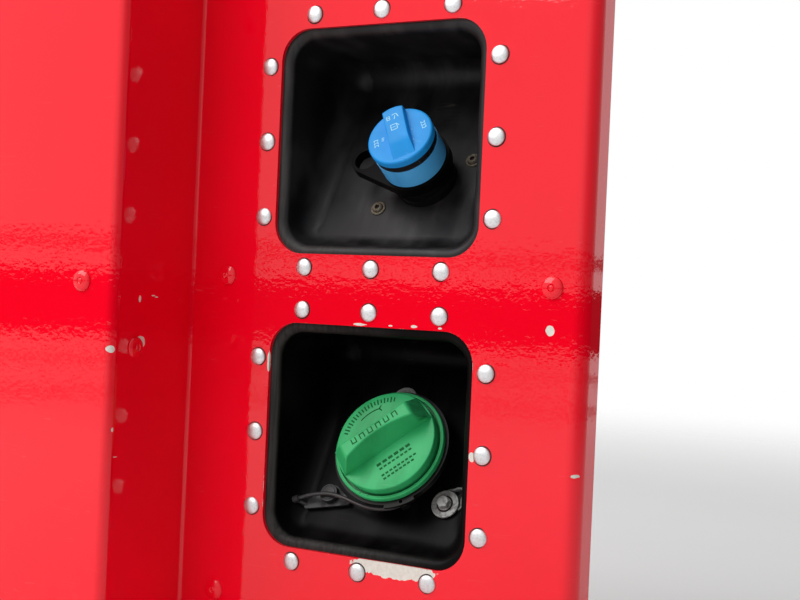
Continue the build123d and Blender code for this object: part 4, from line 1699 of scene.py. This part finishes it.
@dataclass
class FuelCap:
    """The diesel cap: scored and grooved shell, waisted grip bar and marks. Lengths are in millimetres."""

    finishes: Finishes
    platform_h: float = 37.3
    rim_top: float = 30.3
    bar_turn: float = FUEL_BAR_TURN
    bar_half: float = 38.3
    bar_run: float = 9.8
    bar_h: float = 17.7
    bar_sink: float = 0.5
    bar_edge: float = 1.3
    bar_round: float = 3.0
    bar_steps: int = 72
    side_steps: int = 8
    edge_steps: int = 4
    shell_steps: int = 144
    flare_at: float = 28.0
    flare_limit: float = 1.9
    hollow: float = 1.35
    near_foot: float = 6.2
    near_waist: float = 0.9
    near_flare: float = 4.9
    far_foot: float = 15.0
    far_waist: float = 6.0
    far_flare: float = 1.0
    ribs_across: float = 2.6
    shell_profile: tuple[tuple[float, float], ...] = (
        # radius, height: foot, rim with its scored line, groove, platform
        (0.01, 25.8),
        (42.6, 25.8),
        (43.0, 26.2),
        (43.0, 29.3),
        (42.7, 29.95),
        (42.2, 30.25),
        (41.85, 30.3),
        (41.75, 29.95),
        (41.55, 29.95),
        (41.45, 30.3),
        (40.8, 30.3),
        (40.4, 29.9),
        (40.4, 26.8),
        (38.8, 26.8),
        (38.8, 35.9),
        (38.65, 36.6),
        (38.2, 37.1),
        (37.5, 37.3),
        (30.0, 37.3),
        (15.0, 37.3),
        (0.01, 37.3),
    )

    def bar_height(self, along: float) -> float:
        """The grip bar's height over the platform, with its end slopes rounded into its top."""
        slope = (self.bar_half - abs(along)) * self.bar_h / self.bar_run
        return max(soft_slope(slope, self.bar_h, self.bar_round), LEAST_H)

    def bar_side(self, high: float, foot: float, top: float) -> list[tuple[float, float]]:
        """One side of a section of the grip bar, hollowed a little towards its foot.

        Args:
            high: the section's height.
            foot: how far out the side stands at the platform.
            top: how far out it stands at the bar's full height.

        Returns:
            Reach and level of each point, from the foot to the rounded top edge.
        """
        edge = min(self.bar_edge, high / 2)
        points = []
        for step in range(self.side_steps + 1):
            level = (high - edge) * step / self.side_steps
            share = min(level / self.bar_h, 1.0)
            points.append((top + (foot - top) * (1.0 - share) ** self.hollow, level))
        shoulder = points[-1][0]
        for inward, below in quarter_round(self.edge_steps)[1:]:
            points.append((shoulder - edge * inward, high - edge * below))
        return points

    def bar_section(self, along: float) -> list[tuple[float, float]]:
        """One section of the grip bar, from its near foot over its top to its far foot.

        Args:
            along: the section's place along the bar.

        Returns:
            Across and height of each point.
        """
        high = self.bar_height(along)
        flare = min((along / self.flare_at) ** 2, self.flare_limit)
        near = self.bar_side(high, self.near_foot, self.near_waist + self.near_flare * flare)
        far = self.bar_side(high, self.far_foot, self.far_waist + self.far_flare * flare)
        points = [(-self.near_foot, -self.bar_sink)]
        points += [(-reach, level) for reach, level in near]
        points += reversed(far)
        return [*points, (self.far_foot, -self.bar_sink)]

    def shell(self) -> None:
        """Builds the shell: scored rim, groove, rounded platform and the waisted grip bar."""
        mesh = bmesh.new()
        profile = [(radius * MM, height * MM) for radius, height in self.shell_profile]
        add_turned(mesh, profile, self.shell_steps)
        sections = []
        for step in range(self.bar_steps + 1):
            along = self.bar_half * math.sin(math.pi * (step / self.bar_steps - 0.5))
            section = []
            for across, height in self.bar_section(along):
                reach = math.hypot(along, across)
                pull = min(self.bar_half / reach, 1.0) if reach > 0.0 else 1.0
                section.append(Vector((along * pull, across * pull, self.platform_h + height)) * MM)
            sections.append(section)
        add_loft(mesh, sections, self.bar_turn)
        piece = finish_mesh("diesel_cap_shell", mesh, FUEL_NECK.matrix(), 32.0)
        ride(piece, Body.FUEL_CAP, (self.finishes["green_plastic"],))
        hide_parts("fuel_cap_shell")

    def platform_marks(self) -> None:
        """Moulds the platform's ring of ticks, its turning arrow and its rows of dashes."""
        marks = []
        for step in range(19):
            tall = 4.4 if step % 2 else 3.2
            marks.append(Mark(33.2, 0.0, tall, 1.1).at_angle(94.0 + 4.6 * step))
        marks += [Mark(27.6, 0.0, 0.9, 2.7).at_angle(118.0 + 5.0 * step) for step in range(7)]
        marks += [
            Mark(28.6, 0.0, 3.2, 1.0, -40.0).at_angle(115.0),
            Mark(26.6, 0.0, 3.2, 1.0, 40.0).at_angle(115.0),
        ]
        for count, first, pitch, row, length, width in (
            (6, -12.5, 5.0, -14.6, 3.6, 2.2),
            (8, -12.5, 3.6, -18.4, 2.4, 1.5),
            (9, -13.5, 3.4, -24.0, 2.3, 1.5),
            (8, -13.5, 3.4, -27.2, 2.3, 1.5),
        ):
            for step in range(count):
                marks.append(Mark(first + pitch * step, row, length, width).at_angle(self.bar_turn))
        piece = CapMarks(FUEL_NECK, self.platform_h * MM).build("diesel_cap_marks", marks)
        ride(piece, Body.FUEL_CAP, (self.finishes["green_mark"],))

    def bar_ribs(self) -> None:
        """Moulds the row of open boxes along the grip bar's top."""
        ribs = []
        for step in range(6):
            along = -17.5 + 7.0 * step
            ribs += [Mark(along + side, self.ribs_across, 0.9, 4.6) for side in (-1.7, 1.7)]
            ribs.append(Mark(along, self.ribs_across + (1.85 if step % 2 else -1.85), 2.6, 0.9))
        turned = [mark.at_angle(self.bar_turn) for mark in ribs]
        height = (self.platform_h + self.bar_h) * MM
        piece = CapMarks(FUEL_NECK, height).build("diesel_bar_ribs", turned)
        ride(piece, Body.FUEL_CAP, (self.finishes["green_mark"],))

    def rim_pips(self) -> None:
        """Moulds the two pips on the rim that show how far the cap is closed."""
        pips = [Mark(41.0, 0.0, 1.3, 1.8).at_angle(angle) for angle in (-107.0, -97.0)]
        marks = CapMarks(FUEL_NECK, self.rim_top * MM, rise=0.7 * MM, bevel=0.3)
        piece = marks.build("diesel_rim_pips", pips)
        ride(piece, Body.FUEL_CAP, (self.finishes["green_plastic"],))

    def build(self) -> None:
        """Builds the shell and its marks."""
        self.shell()
        self.platform_marks()
        self.bar_ribs()
        self.rim_pips()


@dataclass
class FuelFiller:
    """The diesel filler: neck, ring, tether, cap, and the neck's bolts."""

    finishes: Finishes
    washer_d: float = 21.0 * MM
    washer_t: float = 1.7 * MM
    washer_groove_d: float = 12.6 * MM
    head_af: float = 8.4 * MM
    head_h: float = 5.4 * MM
    head_foot: float = 0.95 * MM
    collar_d: float = 10.4 * MM
    boss_d: float = 14.3 * MM
    boss_h: float = 5.0 * MM
    boss_steps: int = 64
    bolt_hole_r: float = 3.4 * MM
    seat_gap: float = 0.05
    # Right, up and seat of each bolt, in millimetres, then turns in degrees
    right_bolt: tuple[float, float, float] = (43.6, -30.1, 1.6)
    left_bolt: tuple[float, float, float] = (-49.6, -35.4, 4.4)
    top_bolt: tuple[float, float, float] = (-14.0, 50.0, 0.0)
    right_turn: float = 17.0
    top_turn: float = 5.0

    def place(self, spot: tuple[float, float, float], turn: float = 0.0) -> Matrix:
        """A bolt's place from its right, up and seat in millimetres."""
        right, up, seat = spot
        return FUEL_NECK.matrix(right * MM, up * MM, (seat + self.seat_gap) * MM, turn)

    def bolt(self, name: str, spot: tuple[float, float, float], turn: float) -> None:
        """Builds a hexagonal bolt with its wide washer.

        Args:
            name: the piece's name.
            spot: right, up and seat in millimetres.
            turn: how far the head is turned, in degrees.
        """
        mesh = bmesh.new()
        washer = self.washer_d / 2
        collar = self.collar_d / 2
        groove = self.washer_groove_d / 2
        top = self.washer_t
        foot = top + self.head_foot
        plate = (
            (self.bolt_hole_r, 0.02 * MM),
            (washer - 0.2 * MM, 0.02 * MM),
            (washer, 0.3 * MM),
            (washer, top - 0.5 * MM),
            (washer - 0.2 * MM, top - 0.15 * MM),
            (washer - 0.7 * MM, top),
            (washer - 1.3 * MM, top - 0.05 * MM),
            (washer - 1.6 * MM, top - 0.3 * MM),
            (groove + 1.2 * MM, top - 0.35 * MM),
            (groove + 0.4 * MM, top - 0.1 * MM),
            (groove, top - 0.15 * MM),
        )
        # painted shadow with grime: the dark ring in the groove between the washer and the head
        dirt = (
            (groove, top - 0.15 * MM),
            (groove - 0.3 * MM, top - 0.7 * MM),
            (collar, top - 0.7 * MM),
            (collar - 0.15 * MM, top + 0.02 * MM),
        )
        flange = (
            (collar - 0.15 * MM, top + 0.02 * MM),
            (collar, top + 0.3 * MM),
            (collar - 0.2 * MM, top + 0.75 * MM),
            (hexagon(self.head_af), foot),
        )
        for profile, finish in ((plate, 0), (dirt, 1), (flange, 0)):
            add_turned(mesh, profile, FINE_STEPS, finish)
        add_hex_head(mesh, self.head_af, foot, top + self.head_h)
        piece = finish_mesh(name, mesh, self.place(spot, turn), 25.0)
        ride(piece, Body.PANEL, (self.finishes["zinc_steel"], self.finishes["dirt_and_painted_shade"]))

    def boss(self, name: str, spot: tuple[float, float, float]) -> None:
        """Builds the round dark head at the left, with a groove round its flat top.

        Args:
            name: the piece's name.
            spot: right, up and seat in millimetres.
        """
        mesh = bmesh.new()
        radius = self.boss_d / 2
        high = self.boss_h
        profile = (
            (self.bolt_hole_r, 0.02 * MM),
            (radius - 0.2 * MM, 0.02 * MM),
            (radius, 0.3 * MM),
            (radius, high - 0.7 * MM),
            (radius - 0.25 * MM, high - 0.2 * MM),
            (radius - 0.8 * MM, high),
            (radius - 1.3 * MM, high - 0.1 * MM),
            (radius - 1.5 * MM, high - 0.5 * MM),
            (radius - 1.9 * MM, high - 0.5 * MM),
            (radius - 2.1 * MM, high - 0.1 * MM),
            (radius * 0.5, high + 0.05 * MM),
            (POINT_R, high + 0.1 * MM),
        )
        add_turned(mesh, profile, self.boss_steps)
        piece = finish_mesh(name, mesh, self.place(spot), 40.0)
        ride(piece, Body.PANEL, (self.finishes["dark_steel"],))

    def build(self) -> None:
        """Dresses the neck, ring and tether, and adds the bolts, the clip and the cap."""
        for node, finish in (
            ("fuel_pocket", "lower_pocket_painted_shade_plastic"),
            ("fuel_neck", "neck_plastic"),
            ("fuel_cap_ring", "neck_plastic"),
            ("fuel_cap_plug", "neck_plastic"),
            ("tether_bracket", "steel_darkened_as_painted_shade"),
            ("fuel_tether", "tether_plastic"),
        ):
            self.finishes.dress_node(node, finish)
        self.bolt("fuel_neck_bolt_right", self.right_bolt, self.right_turn)
        self.bolt("fuel_neck_bolt_top", self.top_bolt, self.top_turn)
        self.boss("fuel_neck_bolt_left", self.left_bolt)
        right, up, _ = self.right_bolt
        BoltClip(self.finishes, right, up).build()
        FuelCap(self.finishes).build()


@dataclass
class Studio:
    """The floor, the backdrop, soft light and the camera."""

    camera_place: tuple[float, float, float] = (0.40919, -0.75635, -0.00769)
    yaw: float = 27.45
    pitch: float = -0.34
    roll: float = 2.55
    focal_px: float = 1202.7
    picture_px: float = 800.0
    sensor: float = 36.0
    world_level: float = 0.63
    side_loss: float = 0.66
    horizon: tuple[tuple[float, float, float, float], ...] = (
        # a dark band's middle, half height and soft edge, and how much light it takes
        (-0.0185, 0.0255, 0.002, 0.97),
        (0.030, 0.0035, 0.002, 0.85),
        (-0.064, 0.0025, 0.002, 0.6),
        (-0.091, 0.0025, 0.002, 0.6),
    )
    floor_reach: float = 3.2
    floor_fade: tuple[float, float] = (2.6, 0.9)
    floor_drop: float = 0.5 * MM
    floor_tones: tuple[Color, Color] = ((0.84, 0.84, 0.84), (0.82, 0.82, 0.82))
    key_place: tuple[float, float, float] = (-1.25, -1.5, 1.75)
    key_size: float = 2.2
    key_power: float = 56.0

    def place_camera(self) -> None:
        """Sets the camera at the photograph's viewing angle."""
        data = bpy.data.cameras.new("camera")
        data.sensor_width = self.sensor
        data.lens = self.focal_px / self.picture_px * self.sensor
        data.clip_start = 0.02
        made = bpy.data.objects.new("camera", data)
        bpy.context.scene.collection.objects.link(made)
        yaw, pitch, roll = (math.radians(angle) for angle in (self.yaw, self.pitch, self.roll))
        ahead = Vector((-math.sin(yaw) * math.cos(pitch), math.cos(yaw) * math.cos(pitch), math.sin(pitch)))
        side = Vector((math.cos(yaw), math.sin(yaw), 0.0))
        over = side.cross(ahead)
        right = side * math.cos(roll) + over * math.sin(roll)
        up = over * math.cos(roll) - side * math.sin(roll)
        turned = Matrix((right, up, -ahead)).transposed().to_4x4()
        turned.translation = Vector(self.camera_place)
        made.matrix_world = turned
        bpy.context.scene.camera = made

    def light_world(self) -> None:
        """Gives the world a plain soft white, weaker at the right, with a dim horizon for reflections."""
        world = bpy.data.worlds.new("studio")
        bpy.context.scene.world = world
        world.use_nodes = True
        world.node_tree.nodes.clear()
        graph = Graph(world.node_tree)
        across, _, height = graph.parts(graph.node("ShaderNodeTexCoord").outputs["Generated"])
        side = graph.math("MULTIPLY_ADD", graph.spread(across, 0.0, 1.0), -self.side_loss, 1.0)
        dim: Number = 0.0
        for middle, half, soft, share in self.horizon:
            above = graph.spread(height, middle + half + soft, middle + half)
            below = graph.spread(height, middle - half - soft, middle - half)
            band = graph.math("MULTIPLY", graph.math("MULTIPLY", above, below), share)
            dim = graph.math("MAXIMUM", dim, band)
        path = graph.node("ShaderNodeLightPath")
        glossy = path.outputs["Is Glossy Ray"]
        soft_light = graph.math("MULTIPLY", side, self.world_level)
        mirrored = graph.math("MULTIPLY", side, graph.math("SUBTRACT", 1.0, dim))
        added = graph.math("MULTIPLY", glossy, graph.math("SUBTRACT", mirrored, soft_light))
        level = graph.math("ADD", soft_light, added)
        seen = graph.math("MAXIMUM", path.outputs["Is Camera Ray"], path.outputs["Is Transmission Ray"])
        level = graph.math("ADD", level, graph.math("MULTIPLY", seen, graph.math("SUBTRACT", 1.0, level)))
        background = graph.node("ShaderNodeBackground")
        graph.feed(background.inputs["Color"], (1.0, 1.0, 1.0))
        graph.feed(background.inputs["Strength"], level)
        output = graph.node("ShaderNodeOutputWorld")
        graph.feed(output.inputs["Surface"], background.outputs[0])

    def add_light(self, name: str, place: tuple, aim: tuple, size: float, power: float) -> None:
        """Adds a soft square light.

        Args:
            name: the light's name.
            place: where it hangs.
            aim: the point that it looks at.
            size: its side in metres.
            power: its power in watts.
        """
        data = bpy.data.lights.new(name, "AREA")
        data.size = size
        data.energy = power
        made = bpy.data.objects.new(name, data)
        bpy.context.scene.collection.objects.link(made)
        made.location = place
        made.rotation_euler = (Vector(aim) - Vector(place)).to_track_quat("-Z", "Y").to_euler()

    def lay_floor(self) -> None:
        """Lays a pale floor under the part, which fades out into the backdrop."""
        mesh = bmesh.new()
        reach = self.floor_reach
        sides = ((-1, -1), (1, -1), (1, 1), (-1, 1))
        mesh.faces.new([mesh.verts.new((x * reach, y * reach, 0.0)) for x, y in sides])
        floor = finish_mesh("floor", mesh, Matrix.Translation((0.0, 0.0, cad_box[0][2] - self.floor_drop)))
        material = bpy.data.materials.new("pale_floor")
        material.use_nodes = True
        graph = Graph(material.node_tree)
        shader = material.node_tree.nodes["Principled BSDF"]
        shader.inputs["Roughness"].default_value = 0.9
        here = graph.place()
        tone = graph.effect("mottle", Place=here, Per_metre=3.0).outputs["Share"]
        graph.feed(shader.inputs["Base Color"], graph.mix(tone, *self.floor_tones))
        across, along, _ = graph.parts(here)
        squares = graph.math("MULTIPLY_ADD", across, across, graph.math("MULTIPLY", along, along))
        graph.feed(shader.inputs["Alpha"], graph.spread(graph.math("SQRT", squares), *self.floor_fade))
        floor.data.materials.append(material)

    def build(self) -> None:
        """Builds the studio."""
        self.place_camera()
        self.light_world()
        self.add_light("key", self.key_place, (0.0, 0.0, 0.0), self.key_size, self.key_power)
        self.lay_floor()
        bpy.context.scene.view_settings.view_transform = "Standard"


def main() -> None:
    """Builds the effects, finishes, sub-assemblies and studio in order."""
    logging.basicConfig(level=logging.INFO, format="%(name)s: %(message)s")
    SharedEffects()
    finishes = Finishes()
    finishes.dress_node("filler_panel", "red_paint")
    for assembly in (PanelFasteners(finishes), FluidFiller(finishes), FuelFiller(finishes), Studio()):
        assembly.build()
        LOG.info("%s built", type(assembly).__name__)


if __name__ == "__main__":
    main()
